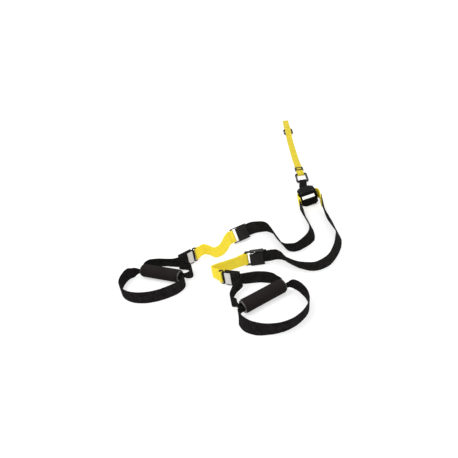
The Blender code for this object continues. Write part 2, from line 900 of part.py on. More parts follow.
def yoke_height():
    """How high the yoke's middle lies when its lowest corner touches the floor."""
    lowest = YOKE_HEIGHT / 2 * math.cos(YOKE_ROLL)
    lowest += (YOKE_WIDTH / 2 - YOKE_EDGE_ROUND) * math.sin(YOKE_ROLL)
    return lowest


def yoke_matrix():
    """The yoke's place: turned a little in plan and rolled with its right side up."""
    turn = Matrix.Rotation(YOKE_TURN, 4, "Z") @ Matrix.Rotation(-YOKE_ROLL, 4, "Y")
    return Matrix.Translation((0.0, 0.0, yoke_height())) @ turn


def build_yoke(trainer):
    """Housing, saddle, neck pin, screws and the plain face strip."""
    place = yoke_matrix()
    add_piece("yoke_lower_shell", yoke_shell_mesh(False), "black_plastic", trainer, place)
    add_piece("yoke_upper_shell", yoke_shell_mesh(True), "black_plastic", trainer, place)
    add_piece("yoke_saddle", saddle_mesh(), "black_plastic", trainer, place)
    pin_y = YOKE_LENGTH * NECK_PIN_SHARE
    half = NECK_PIN_LENGTH / 2
    pin = rod_mesh(NECK_PIN_RADIUS, (-half, pin_y, 0.0), (half, pin_y, 0.0))
    add_piece("yoke_neck_pin", pin, "steel", trainer, place)
    for number, (x, y) in enumerate(boss_places(), 1):
        home = place @ Matrix.Translation((x, y, YOKE_HEIGHT / 2))
        add_piece(f"yoke_screw_{number}", screw_mesh(), "steel", trainer, home)
    strip = box_mesh(
        (-STRIP_LENGTH / 2, -STRIP_WIDTH / 2, GAP - STRIP_THICKNESS),
        (STRIP_LENGTH / 2, STRIP_WIDTH / 2, GAP),
    )
    add_piece("yoke_face_strip", strip, "white_patch", trainer, place @ strip_frame())


def carabiner_height():
    """The height of a carabiner's bar over the floor, with a strap under it."""
    return BAR_RADIUS + GAP + STRAP_THICKNESS


def build_neck_loop(trainer):
    """The flat loop from the pin in the yoke to the main carabiner's near bar."""
    place = yoke_matrix()
    pin = place @ Vector((0.0, YOKE_LENGTH * NECK_PIN_SHARE, 0.0))
    bar = main_carabiner_matrix() @ Vector((0.0, -MAIN_CARABINER.reach, 0.0))
    run = (bar - pin).normalized()
    pin_across = (place.to_3x3() @ RIGHT).normalized()
    bar_across = (main_carabiner_matrix().to_3x3() @ RIGHT).normalized()
    pin_face = pin_across.cross(run).normalized()
    pin_run = pin_face.cross(pin_across).normalized()
    bar_face = bar_across.cross(run).normalized()
    bar_run = bar_face.cross(bar_across).normalized()
    pin_wrap = NECK_PIN_RADIUS + GAP + STRAP_THICKNESS / 2
    bar_wrap = BAR_RADIUS + GAP + STRAP_THICKNESS / 2
    knots = arc_knots(pin, pin_run, pin_face, pin_wrap, (90.0, 270.0), pin_across, NECK_STRAP_WIDTH)
    knots += arc_knots(bar, bar_run, bar_face, bar_wrap, (-90.0, 90.0), bar_across, NECK_STRAP_END_WIDTH)
    add_piece("neck_loop", strap_mesh(smooth(knots, True), True), "black_webbing", trainer)


# Carabiners

def main_carabiner_matrix():
    """The main carabiner's place beyond the yoke."""
    middle = Vector((MAIN_CARABINER_ACROSS, MAIN_CARABINER_ALONG, carabiner_height()))
    return Matrix.Translation(middle) @ Matrix.Rotation(ANCHOR_HEADING - math.pi / 2, 4, "Z")


def anchor_carabiner_matrix():
    """The anchor carabiner's place under the far end of the anchor strap."""
    along = ANCHOR_LENGTH - ANCHOR_TAIL_LENGTH - ANCHOR_CARABINER.reach
    spot = anchor_matrix() @ Vector((along, anchor_drift(along), carabiner_height()))
    return Matrix.Translation(spot) @ Matrix.Rotation(ANCHOR_HEADING - math.pi / 2, 4, "Z")


def carabiner_body_mesh(kind):
    """The bent bar, open on its left side between the nose and the hinge tongue."""
    side = kind.width / 2 - BAR_RADIUS
    end = kind.reach
    nose = kind.length * GATE_NOSE_SHARE
    hinge = kind.hinge
    corner = side - BAR_CORNER
    far = end - BAR_CORNER
    forward = Vector((0.0, 1.0, 0.0))
    tongue_root = hinge.y - HINGE_TONGUE_LENGTH / 2
    points = [Vector((-side, tongue_root, 0.0)), Vector((-side, (tongue_root - far) / 2, 0.0))]
    points += arc_points(Vector((-corner, -far, 0.0)), RIGHT, forward, BAR_CORNER, 180.0, 270.0, 5)
    points += arc_points(Vector((corner, -far, 0.0)), RIGHT, forward, BAR_CORNER, 270.0, 360.0, 5)
    points.append(Vector((side, 0.0, 0.0)))
    points += arc_points(Vector((corner, far, 0.0)), RIGHT, forward, BAR_CORNER, 0.0, 90.0, 5)
    points += arc_points(Vector((-corner, far, 0.0)), RIGHT, forward, BAR_CORNER, 90.0, 180.0, 5)
    points.append(Vector((-side, nose, 0.0)))
    bar = wire_mesh(points, BAR_RADIUS)
    flat = HINGE_TONGUE_THICKNESS / 2
    eye = BAR_RADIUS * 0.7
    tongue = box_mesh((-side - eye, tongue_root - eye, -flat), (-side + eye, hinge.y + eye, flat))
    body = combined(bar, [tongue], "UNION")
    hole = rod_mesh(
        HINGE_PIN_RADIUS + GAP,
        hinge - UP * (flat + CUT_OVERRUN),
        hinge + UP * (flat + CUT_OVERRUN),
        12,
    )
    return combined(body, [hole], "DIFFERENCE")


def gate_mesh(kind):
    """The gate: a rod with a fork over the hinge tongue and a bore for its spring."""
    hinge = kind.hinge
    nose = kind.length * GATE_NOSE_SHARE - GAP
    reach = GATE_RADIUS
    rod = rod_mesh(GATE_RADIUS, (hinge.x, hinge.y - reach, 0.0), (hinge.x, nose, 0.0), 20)
    slot_half = HINGE_TONGUE_THICKNESS / 2 + GAP
    slot = box_mesh(
        (hinge.x - BAR_RADIUS, hinge.y - 2 * BAR_RADIUS, -slot_half),
        (hinge.x + BAR_RADIUS, hinge.y + BAR_RADIUS, slot_half),
    )
    hole = rod_mesh(
        HINGE_PIN_RADIUS + GAP,
        hinge - UP * 2 * BAR_RADIUS,
        hinge + UP * 2 * BAR_RADIUS,
        12,
    )
    bore_end = hinge.y + BAR_RADIUS + GATE_SPRING_LENGTH + 2 * GAP
    bore = rod_mesh(GATE_SPRING_RADIUS + GAP, (hinge.x, hinge.y, 0.0), (hinge.x, bore_end, 0.0), 12)
    return combined(rod, [slot, hole, bore], "DIFFERENCE")


def build_carabiner(kind, body_empty, gate_empty, place):
    """Body, hinge pin, gate and gate spring of one carabiner."""
    name = kind.name
    hinge = kind.hinge
    add_piece(f"{name}_body", carabiner_body_mesh(kind), "black_metal", body_empty, place)
    half = GATE_RADIUS - GAP
    pin = rod_mesh(HINGE_PIN_RADIUS, hinge - UP * half, hinge + UP * half, 12)
    add_piece(f"{name}_hinge_pin", pin, "steel", body_empty, place)
    add_piece(f"{name}_gate", gate_mesh(kind), "black_metal", gate_empty, place)
    spring_start = hinge + Vector((0.0, BAR_RADIUS + GAP, 0.0))
    spring_end = spring_start + Vector((0.0, GATE_SPRING_LENGTH, 0.0))
    spring = rod_mesh(GATE_SPRING_RADIUS, spring_start, spring_end, 10)
    add_piece(f"{name}_gate_spring", spring, "steel", gate_empty, place)


# Anchor strap

def anchor_matrix():
    """The anchor strap's own frame: X along it from the main carabiner's far bar."""
    start = main_carabiner_matrix() @ Vector((0.0, MAIN_CARABINER.reach, 0.0))
    spot = Vector((start.x, start.y, 0.0))
    return Matrix.Translation(spot) @ Matrix.Rotation(ANCHOR_HEADING, 4, "Z")


def anchor_drift(along):
    """The strap's sideways place at a distance along it."""
    share = min(max(along / ANCHOR_LENGTH, 0.0), 1.0)
    for (start, low), (end, high) in zip(ANCHOR_DRIFT_SHARES, ANCHOR_DRIFT_SHARES[1:]):
        if share <= end:
            blend = (share - start) / (end - start)
            blend = blend * blend * (3.0 - 2.0 * blend)
            return (low + (high - low) * blend) * ANCHOR_LENGTH
    return 0.0


def anchor_levels():
    """Heights of the strap's middle: on the floor, in the keeper, over it and over the bar."""
    low = STRAP_THICKNESS / 2
    under = KEEPER_WALL + GAP + low
    over = under + LAYER_PITCH
    return low, under, over


def anchor_knots():
    """The whole run, from the sewn return at the keeper to the sewn tail loop."""
    low, under, over = anchor_levels()
    wrap = BAR_RADIUS + GAP + STRAP_THICKNESS / 2
    bar = carabiner_height()
    keeper_start = KEEPER_PLACE - KEEPER_LENGTH / 2 - KEEPER_TRAVEL
    keeper_end = KEEPER_PLACE + KEEPER_LENGTH / 2 + KEEPER_TRAVEL
    far_bar = ANCHOR_LENGTH - ANCHOR_TAIL_LENGTH
    near_bar = far_bar - 2 * ANCHOR_CARABINER.reach
    over_bar = bar + wrap + GAP
    ramp = 4 * BAR_RADIUS
    wide = ANCHOR_WIDTH
    narrow = ANCHOR_LOOP_WIDTH
    level = Vector((0.0, 1.0, 0.0))
    frame = anchor_matrix()
    knots = []

    def lay(along, height, width):
        spot = Vector((along, anchor_drift(along), height))
        knots.append(Knot(frame @ spot, frame.to_3x3() @ level, width))

    def turn(centre_along, centre_height, radius, angles, width):
        centre = Vector((centre_along, 0.0, centre_height))
        for spot in arc_points(centre, RIGHT, UP, radius, angles[0], angles[1], 8):
            lay(spot.x, spot.z, width)

    lead = 2 * BAR_RADIUS
    lay(ANCHOR_RETURN_LENGTH, low, wide)
    lay(keeper_end + lead, low, wide)
    lay(keeper_end, under, wide)
    lay(keeper_start, under, wide)
    lay(keeper_start - lead, under + GAP, wide)
    turn(0.0, bar, wrap, (270.0, 90.0), narrow)
    lay(keeper_start - lead, over + lead / 4, wide)
    lay(keeper_start, over, wide)
    lay(keeper_end, over, wide)
    lay(keeper_end + lead, over, wide)
    lay(ANCHOR_RETURN_LENGTH, low + LAYER_PITCH + GAP, wide)
    lay(ANCHOR_RETURN_LENGTH + ramp / 2, low + LAYER_PITCH + GAP, wide)
    lay(ANCHOR_RETURN_LENGTH + 2 * ramp, low, wide)
    ramp_end = ANCHOR_RETURN_LENGTH + 2 * ramp
    flat_end = near_bar - 3 * ramp
    for step in range(1, 6):
        lay(ramp_end + (flat_end - ramp_end) * step / 5, low, wide)
    lay(near_bar - ramp, (low + over_bar) / 2 + BAR_RADIUS, wide)
    lay(near_bar, over_bar, wide)
    lay((near_bar + far_bar) / 2, over_bar, wide)
    lay(far_bar, over_bar + LAYER_PITCH + GAP, wide)
    lay(far_bar + ramp, over_bar + LAYER_PITCH / 2, wide)
    lay(far_bar + ANCHOR_TAIL_RETURN, over_bar - BAR_RADIUS, wide)
    fold = BAR_RADIUS
    lay(ANCHOR_LENGTH - 3 * fold, low + 2 * fold, wide)
    turn(ANCHOR_LENGTH - fold, low + fold, fold, (90.0, -90.0), wide)
    lay(ANCHOR_LENGTH - 3 * fold, low, wide)
    lay(far_bar + ANCHOR_TAIL_RETURN, low, wide)
    lay(far_bar + ramp / 2, low, wide)
    turn(far_bar - ANCHOR_TAIL_SLACK / 2, bar, wrap, (270.0, 90.0), ANCHOR_TAIL_LOOP_WIDTH)
    lay(far_bar + ANCHOR_TAIL_SLACK / 2, bar + wrap, ANCHOR_TAIL_LOOP_WIDTH)
    lay(far_bar + ramp, bar, ANCHOR_TAIL_LOOP_WIDTH)
    lay(far_bar + 2 * ramp, low + LAYER_PITCH, wide)
    lay(far_bar + ANCHOR_TAIL_RETURN, low + LAYER_PITCH, wide)
    return knots


def keeper_mesh():
    """A flat sleeve over both layers of the strap, with a window in its top."""
    low, under, over = anchor_levels()
    top = over + STRAP_THICKNESS / 2 + GAP
    half_width = KEEPER_WIDTH / 2
    half_length = KEEPER_LENGTH / 2
    sleeve = box_mesh(
        (-half_length, -half_width, 0.0), (half_length, half_width, top + KEEPER_WALL), KEEPER_CORNER / 2
    )
    tunnel_half = ANCHOR_WIDTH / 2 + 2 * GAP
    tunnel = box_mesh(
        (-half_length - CUT_OVERRUN, -tunnel_half, KEEPER_WALL),
        (half_length + CUT_OVERRUN, tunnel_half, top),
    )
    window_x = KEEPER_LENGTH * KEEPER_WINDOW_ALONG_SHARE / 2
    window_y = KEEPER_WIDTH * KEEPER_WINDOW_ACROSS_SHARE / 2
    window = box_mesh((-window_x, -window_y, over), (window_x, window_y, top + CUT_OVERRUN))
    return combined(sleeve, [tunnel, window], "DIFFERENCE")


# Cam buckles

def laid(shares):
    """A place in the layout, in metres."""
    return Vector((shares[0] * LAID_LENGTH, shares[1] * LAID_LENGTH, 0.0))


def buckle_half_height():
    """Half of the buckle's size across the webbing."""
    return LEG_WIDTH / 2 + BUCKLE_SIDE_GAP + BUCKLE_SIDE


def buckle_matrix(side):
    """A buckle's frame: X along the strap, Y out of its face, Z across the strap."""
    lean = math.radians(side.buckle_lean)
    drop = buckle_half_height() * math.cos(lean) + BUCKLE_SIDE_RISE * math.sin(lean)
    spot = laid(side.buckle_share) + UP * drop
    turn = Matrix.Rotation(math.radians(side.buckle_heading), 4, "Z")
    return Matrix.Translation(spot) @ turn @ Matrix.Rotation(lean, 4, "X")


def base_top():
    """The buckle base's face, which the leg strap lies on."""
    return -STRAP_THICKNESS / 2 - GAP


def buckle_frame_mesh():
    """Two side plates with prongs, the base between them and the front bar."""
    half = buckle_half_height()
    inner = LEG_WIDTH / 2 + BUCKLE_SIDE_GAP
    deck = base_top()
    under = deck - BUCKLE_BASE_THICKNESS - LAYER_PITCH - GAP
    sides = []
    for sign in (-1.0, 1.0):
        low, high = sorted((sign * inner, sign * half))
        sides.append(
            box_mesh(
                (-BUCKLE_REAR_REACH, under, low),
                (BUCKLE_BODY_LENGTH - BUCKLE_REAR_REACH, BUCKLE_SIDE_RISE, high),
                BUCKLE_SIDE / 4,
            )
        )
        sides.append(
            box_mesh(
                (0.0, -BUCKLE_PRONG_HEIGHT / 2, low),
                (BUCKLE_FRONT_REACH + BUCKLE_PRONG_HEIGHT / 2, BUCKLE_PRONG_HEIGHT / 2, high),
                BUCKLE_SIDE / 4,
            )
        )
    base = box_mesh(
        (-BUCKLE_REAR_REACH, deck - BUCKLE_BASE_THICKNESS, -half + BUCKLE_SIDE / 2),
        (BUCKLE_BASE_FRONT, deck, half - BUCKLE_SIDE / 2),
        BUCKLE_BASE_THICKNESS / 3,
    )
    reach = half - BUCKLE_SIDE / 2
    bar = rod_mesh(
        BUCKLE_BAR_RADIUS, (BUCKLE_FRONT_REACH, 0.0, -reach), (BUCKLE_FRONT_REACH, 0.0, reach), 16
    )
    frame = combined(base, sides + [bar], "UNION")
    hole = rod_mesh(
        CAM_PIN_RADIUS + GAP,
        (0.0, CAM_PIN_RISE, -half - CUT_OVERRUN),
        (0.0, CAM_PIN_RISE, half + CUT_OVERRUN),
        16,
    )
    return combined(frame, [hole], "DIFFERENCE")


def cam_mesh():
    """The cam: a lobe over the strap that carries the thumb cover."""
    half = LEG_WIDTH / 2 + BUCKLE_SIDE_GAP - CAM_SIDE_GAP
    press = CAM_PIN_RISE - STRAP_THICKNESS / 2 - GAP
    cover_low = BUCKLE_SIDE_RISE + GAP
    cover_high = cover_low + CAM_COVER_THICKNESS
    neck = CAM_NECK_HALF
    outline = [(-CAM_COVER_REAR, cover_high), (-CAM_COVER_REAR, cover_low), (-neck, cover_low)]
    for index in range(9):
        angle = math.radians(180.0 + 22.5 * index)
        eased = press - 2 * GAP if index > 4 else press
        spread = neck if index in (0, 8) else eased
        outline.append((spread * math.cos(angle), CAM_PIN_RISE + eased * math.sin(angle)))
    lip = cover_low + GAP
    outline += [(neck, lip), (CAM_COVER_FRONT, lip), (CAM_COVER_FRONT, cover_high)]
    lobe = plate_mesh(outline, 2 * half)
    bore = rod_mesh(
        CAM_PIN_RADIUS + GAP,
        (0.0, CAM_PIN_RISE, -half - CUT_OVERRUN),
        (0.0, CAM_PIN_RISE, half + CUT_OVERRUN),
        16,
    )
    pocket = box_mesh(
        (-2 * press, -press, -CAM_SPRING_LENGTH / 2 - GAP),
        (2 * press, CAM_PIN_RISE + CAM_SPRING_RADIUS + GAP, CAM_SPRING_LENGTH / 2 + GAP),
    )
    return combined(lobe, [bore, pocket], "DIFFERENCE")


def cam_spring_mesh():
    """The spring round the cam's pin."""
    outer = CAM_SPRING_RADIUS
    inner = CAM_PIN_RADIUS + GAP
    half = CAM_SPRING_LENGTH / 2
    return turned_mesh(((outer, half), (outer, -half), (inner, -half), (inner, half)), 16)


def build_buckle(side, trainer):
    """Frame, pin, cam and spring of one buckle."""
    place = buckle_matrix(side)
    name = side.name
    add_piece(f"{name}_buckle_frame", buckle_frame_mesh(), "black_metal", trainer, place)
    half = buckle_half_height() - GAP
    pin = rod_mesh(CAM_PIN_RADIUS, (0.0, CAM_PIN_RISE, -half), (0.0, CAM_PIN_RISE, half), 16)
    add_piece(f"{name}_cam_pin", pin, "steel", trainer, place)
    axis = place @ Matrix.Translation((0.0, CAM_PIN_RISE, 0.0))
    cam_empty = add_empty(f"{name}_cam_axis", axis, trainer)
    add_piece(f"{name}_cam", cam_mesh(), "black_plastic", cam_empty, place)
    add_piece(f"{name}_cam_spring", cam_spring_mesh(), "steel", trainer, axis)


# Straps between the yoke, the buckles and the rings

def leg_run(side):
    """The leg from beside the yoke to the rear of its buckle, all of one width."""
    start_across, start_along = side.leg_start_share
    start = Vector((start_across * YOKE_WIDTH, start_along * YOKE_LENGTH, 0.0))
    place = buckle_matrix(side)
    rear = place @ Vector((-BUCKLE_REAR_REACH - LEG_WIDTH / 2, 0.0, 0.0))
    start.z = yoke_height() + start.x * math.sin(YOKE_ROLL)
    route = route_knots(start, rear, side.leg_route_shares, LEG_WIDTH)
    return [Knot(start, UP, LEG_WIDTH)] + route


def leg_knots(side):
    """The leg with its turn round the buckle's base and its tail behind itself."""
    place = buckle_matrix(side)
    turn = place.to_3x3()
    along, face, across = turn @ RIGHT, turn @ Vector((0.0, 1.0, 0.0)), turn @ UP
    run = leg_run(side)
    rear = -BUCKLE_REAR_REACH - LEG_WIDTH / 2
    for reach in (rear, -BUCKLE_REAR_REACH):
        run.append(Knot(place @ Vector((reach, 0.0, 0.0)), across, LEG_WIDTH))
    going = smooth(run)
    wrap = BUCKLE_BASE_THICKNESS / 2 + GAP + STRAP_THICKNESS / 2
    centre = place @ Vector((BUCKLE_BASE_FRONT - wrap / 2, base_top() - BUCKLE_BASE_THICKNESS / 2, 0.0))
    around = arc_knots(centre, along, face, wrap, (90.0, -90.0), across, LEG_WIDTH)
    behind = -2 * wrap
    tail = [
        Knot(place @ Vector((reach, behind, 0.0)), across, LEG_WIDTH)
        for reach in (-BUCKLE_REAR_REACH / 2, -BUCKLE_REAR_REACH - LEG_TAIL_LENGTH)
    ]
    return going + around + tail


def centre_knots():
    """The centre strap: its left run, its arch over the saddle and its right run."""
    place = yoke_matrix()
    turn = place.to_3x3()
    centre = Vector((0.0, YOKE_LENGTH * SADDLE_CENTRE_SHARE, 0.0))
    wrap = SADDLE_RADIUS + GAP + STRAP_THICKNESS / 2
    arch = arc_points(centre, RIGHT, Vector((0.0, 1.0, 0.0)), wrap, 112.0, 68.0, 6)
    knots = [Knot(place @ point, turn @ UP, CENTRE_WIDTH) for point in arch]
    runs = []
    for side, sign in ((LEFT, -1.0), (RIGHT_SIDE, 1.0)):
        leg = first_stretch(smooth(leg_run(side)), CENTRE_OVERLAP)
        beside = offset_run(leg, -sign * LAYER_PITCH)
        beside = [Knot(knot.point, knot.across, CENTRE_WIDTH) for knot in beside]
        outside = []
        for index, (across, along) in enumerate(side.exit_share):
            spot = place @ Vector((sign * across * YOKE_WIDTH, along * YOKE_LENGTH, 0.0))
            righted = (turn @ UP).lerp(UP, index / (len(side.exit_share) - 1)).normalized()
            outside.append(Knot(spot, righted, CENTRE_WIDTH))
        runs.append(outside + beside)
    return smooth(runs[0][::-1] + knots + runs[1])


def ring_half_height():
    """From the ring's middle to the axis of its top and bottom bars."""
    return max(ADJUSTER_WIDTH, HANDLE_WIDTH) / 2 + RING_SIDE_GAP + RING_WIRE_RADIUS


def ring_matrix(side):
    """A ring's frame: X from its adjuster bar to its handle bar, Z up its bars."""
    height = ring_half_height() + RING_WIRE_RADIUS
    turn = Matrix.Rotation(math.radians(side.ring_heading), 4, "Z")
    return Matrix.Translation(laid(side.ring_share) + UP * height) @ turn


def ring_mesh():
    """A rectangular wire ring that stands upright."""
    half = RING_SPACING / 2
    high = ring_half_height()
    corner = RING_CORNER
    points = []
    for x_sign, z_sign, start in ((1, 1, 0.0), (-1, 1, 90.0), (-1, -1, 180.0), (1, -1, 270.0)):
        centre = Vector((x_sign * (half - corner), 0.0, z_sign * (high - corner)))
        points += arc_points(centre, RIGHT, UP, corner, start, start + 90.0, 4)
    return wire_mesh(points, RING_WIRE_RADIUS, cyclic=True)


def adjuster_knots(side):
    """The yellow strap, looped and sewn round the buckle's bar and the ring's bar."""
    buckle = buckle_matrix(side)
    bar = buckle @ Vector((BUCKLE_FRONT_REACH, 0.0, 0.0))
    bar_across = (buckle.to_3x3() @ UP).normalized()
    leave = heading_vector(side.adjuster_leave)
    leave = (leave - bar_across * leave.dot(bar_across)).normalized()
    leave_side = bar_across.cross(leave)
    wrap = BUCKLE_BAR_RADIUS + GAP + STRAP_THICKNESS / 2
    pair = LAYER_PITCH / 2 + GAP
    width = ADJUSTER_WIDTH
    neck = 3 * wrap
    start = [
        Knot(bar + leave * LOOP_RETURN_LENGTH - leave_side * pair, bar_across, width),
        Knot(bar + leave * neck - leave_side * pair, bar_across, width),
    ]
    start += arc_knots(bar, leave, leave_side, wrap, (-90.0, -270.0), bar_across, width)
    start.append(Knot(bar + leave * neck + leave_side * pair, bar_across, width))
    start.append(Knot(bar + leave * LOOP_RETURN_LENGTH + leave_side * pair, bar_across, width))
    ring = ring_matrix(side)
    end_bar = ring @ Vector((-RING_SPACING / 2, 0.0, 0.0))
    arrive = heading_vector(side.adjuster_arrive)
    arrive_side = left_of(arrive)
    ring_wrap = RING_WIRE_RADIUS + GAP + STRAP_THICKNESS / 2
    ring_neck = 3 * ring_wrap
    end = [Knot(end_bar - arrive * ring_neck + arrive_side * pair, UP, width)]
    end += arc_knots(end_bar, -arrive, arrive_side, ring_wrap, (90.0, 270.0), UP, width)
    end.append(Knot(end_bar - arrive * ring_neck - arrive_side * pair, UP, width))
    middle = route_knots(start[-1].point, end[0].point, side.adjuster_route_shares, width)
    run = smooth(start + middle + end[:-1]) + end[-1:]
    outward = smooth(middle + end[:1])
    back = offset_run(outward, -2 * pair)
    back = first_stretch(back[::-1], RING_RETURN_LENGTH - ring_neck)
    return run + back[1:]


# Handles

def grip_matrix(side):
    """A grip's frame: X along its axis, Y towards the foot cradle, at the foam's radius."""
    ring = ring_matrix(side)
    across, along = side.grip_share[1], side.grip_share[0]
    spot = ring @ Vector((along * HANDLE_REACH, across * HANDLE_REACH, 0.0))
    turn = Matrix.Rotation(math.radians(side.ring_heading + side.grip_heading), 4, "Z")
    return Matrix.Translation((spot.x, spot.y, GRIP_RADIUS)) @ turn


def mouth_knots(side, ends_sign, turn_shares):
    """The handle strap from inside one end of the tube and round its turn outside."""
    place = grip_matrix(side)
    half = GRIP_LENGTH / 2
    spots = [
        (half - GRIP_CAP_LENGTH, 0.0, GRIP_STRAP_WIDTH),
        (half + GAP, 0.0, GRIP_STRAP_WIDTH),
    ]
    for reach, drift, spread in turn_shares:
        widened = GRIP_STRAP_WIDTH + (HANDLE_WIDTH - GRIP_STRAP_WIDTH) * spread
        spots.append((half + reach * GRIP_RADIUS, drift * GRIP_RADIUS, widened))
    found = []
    for along, across, width in spots:
        spot = place @ Vector((ends_sign * along, -GRIP_STRAP_OFFSET - across, 0.0))
        found.append(settled(Knot(Vector((spot.x, spot.y, GRIP_RADIUS)), UP, width)))
    return found


def handle_knots(side):
    """The handle strap as one closed loop: ring bar, block, one leg, tube, other leg."""
    ring = ring_matrix(side)
    turn = ring.to_3x3()
    along, left = turn @ RIGHT, turn @ Vector((0.0, 1.0, 0.0))
    bar = ring @ Vector((RING_SPACING / 2, 0.0, 0.0))
    wrap = RING_WIRE_RADIUS + GAP + STRAP_THICKNESS / 2
    pair = (LAYER_PITCH + GAP) / 2
    width = HANDLE_WIDTH
    block_end = BLOCK_START + BLOCK_LENGTH
    around = arc_knots(bar, along, left, wrap, (290.0, 70.0), UP, width)
    right_layer, left_layer = [], []
    for sign, found in ((-1.0, right_layer), (1.0, left_layer)):
        for reach in (BLOCK_START - GAP, BLOCK_START + 3 * wrap, block_end - wrap, block_end + GAP):
            found.append(Knot(bar + along * reach + left * sign * pair, UP, width))
    plus_layer, minus_layer = (right_layer, left_layer) if side.plus_is_right else (left_layer, right_layer)
    plus_mouth = mouth_knots(side, 1.0, side.plus_turn_shares)
    minus_mouth = mouth_knots(side, -1.0, side.minus_turn_shares)
    plus_leg = route_knots(plus_layer[-1].point, plus_mouth[-1].point, side.plus_leg_shares, width)
    minus_leg = route_knots(minus_layer[-1].point, minus_mouth[-1].point, side.minus_leg_shares, width)
    plus_run = plus_layer + plus_leg + plus_mouth[::-1]
    minus_run = minus_layer + minus_leg + minus_mouth[::-1]
    if side.plus_is_right:
        return smooth(around + minus_run + plus_run[::-1], True)
    return smooth(around + plus_run + minus_run[::-1], True)


def sleeve_mesh(start, length, height, thickness, rounding):
    """The sewn block: a sleeve over both layers of the handle strap."""
    outer = box_mesh(
        (start, -thickness / 2, -height / 2), (start + length, thickness / 2, height / 2), rounding
    )
    slot = LAYER_PITCH + GAP
    tunnel = box_mesh(
        (start - CUT_OVERRUN, -slot, -HANDLE_WIDTH / 2 - GAP),
        (start + length + CUT_OVERRUN, slot, HANDLE_WIDTH / 2 + GAP),
    )
    return combined(outer, [tunnel], "DIFFERENCE")


def foam_mesh():
    """The foam sleeve of a grip, turned about X."""
    outer, inner = GRIP_RADIUS, TUBE_RADIUS + GAP
    half = GRIP_LENGTH / 2 - GRIP_CAP_LENGTH - GAP
    edge = GRIP_FOAM_ROUND
    profile = (
        (outer - edge, half),
        (outer - edge * 0.3, half - edge * 0.3),
        (outer, half - edge),
        (outer, edge - half),
        (outer - edge * 0.3, edge * 0.3 - half),
        (outer - edge, -half),
        (inner, -half),
        (inner, half),
    )
    return along_x(turned_mesh(profile, 40))


def tube_mesh():
    """The hard tube inside the foam."""
    half = GRIP_LENGTH / 2 - GRIP_CAP_LENGTH - GAP
    outline = ((TUBE_RADIUS, half), (TUBE_RADIUS, -half), (TUBE_BORE, -half), (TUBE_BORE, half))
    return along_x(turned_mesh(outline, 32))


def cap_mesh(sign):
    """The flange that closes one end of the foam."""
    far = GRIP_LENGTH / 2
    near = far - GRIP_CAP_LENGTH
    round_off = GRIP_CAP_LENGTH / 3
    profile = (
        (GRIP_CAP_RADIUS - round_off, sign * far),
        (GRIP_CAP_RADIUS, sign * (far - round_off)),
        (GRIP_CAP_RADIUS, sign * near),
        (CAP_BORE, sign * near),
        (CAP_BORE, sign * far),
    )
    return along_x(turned_mesh(profile, 32))


def along_x(mesh):
    """Lay a mesh that was turned about Z along X."""
    mesh.transform(Matrix.Rotation(math.pi / 2, 4, "Y"))
    return mesh


def cradle_knots(side):
    """The foot cradle: a closed loop through the grip's tube and out in front of it."""
    place = grip_matrix(side)
    half = GRIP_LENGTH / 2
    points = [
        place @ Vector((along * GRIP_LENGTH, across * CRADLE_REACH, 0.0))
        for along, across, lean in side.cradle_shares
    ]
    found = []
    for index, (along, across, lean) in enumerate(side.cradle_shares):
        before = points[max(index - 1, 0)]
        after = points[min(index + 1, len(points) - 1)]
        angle = math.radians(lean)
        width_way = UP * math.cos(angle) + left_of(after - before) * math.sin(angle)
        spot = Vector((points[index].x, points[index].y, 0.0))
        found.append(settled(Knot(spot, width_way, CRADLE_WIDTH)))
    ends = []
    for sign in (-1.0, 1.0):
        run = []
        for reach, drift, spread in CRADLE_MOUTH_SHARES:
            beside = GRIP_CRADLE_OFFSET + drift * GRIP_RADIUS
            spot = place @ Vector((sign * (half + reach * GRIP_RADIUS), beside, 0.0))
            width = GRIP_CRADLE_WIDTH + (CRADLE_WIDTH - GRIP_CRADLE_WIDTH) * spread
            run.append(settled(Knot(Vector((spot.x, spot.y, GRIP_RADIUS)), UP, width)))
        ends.append(run)
    return smooth(ends[0][::-1] + ends[1] + found, True)


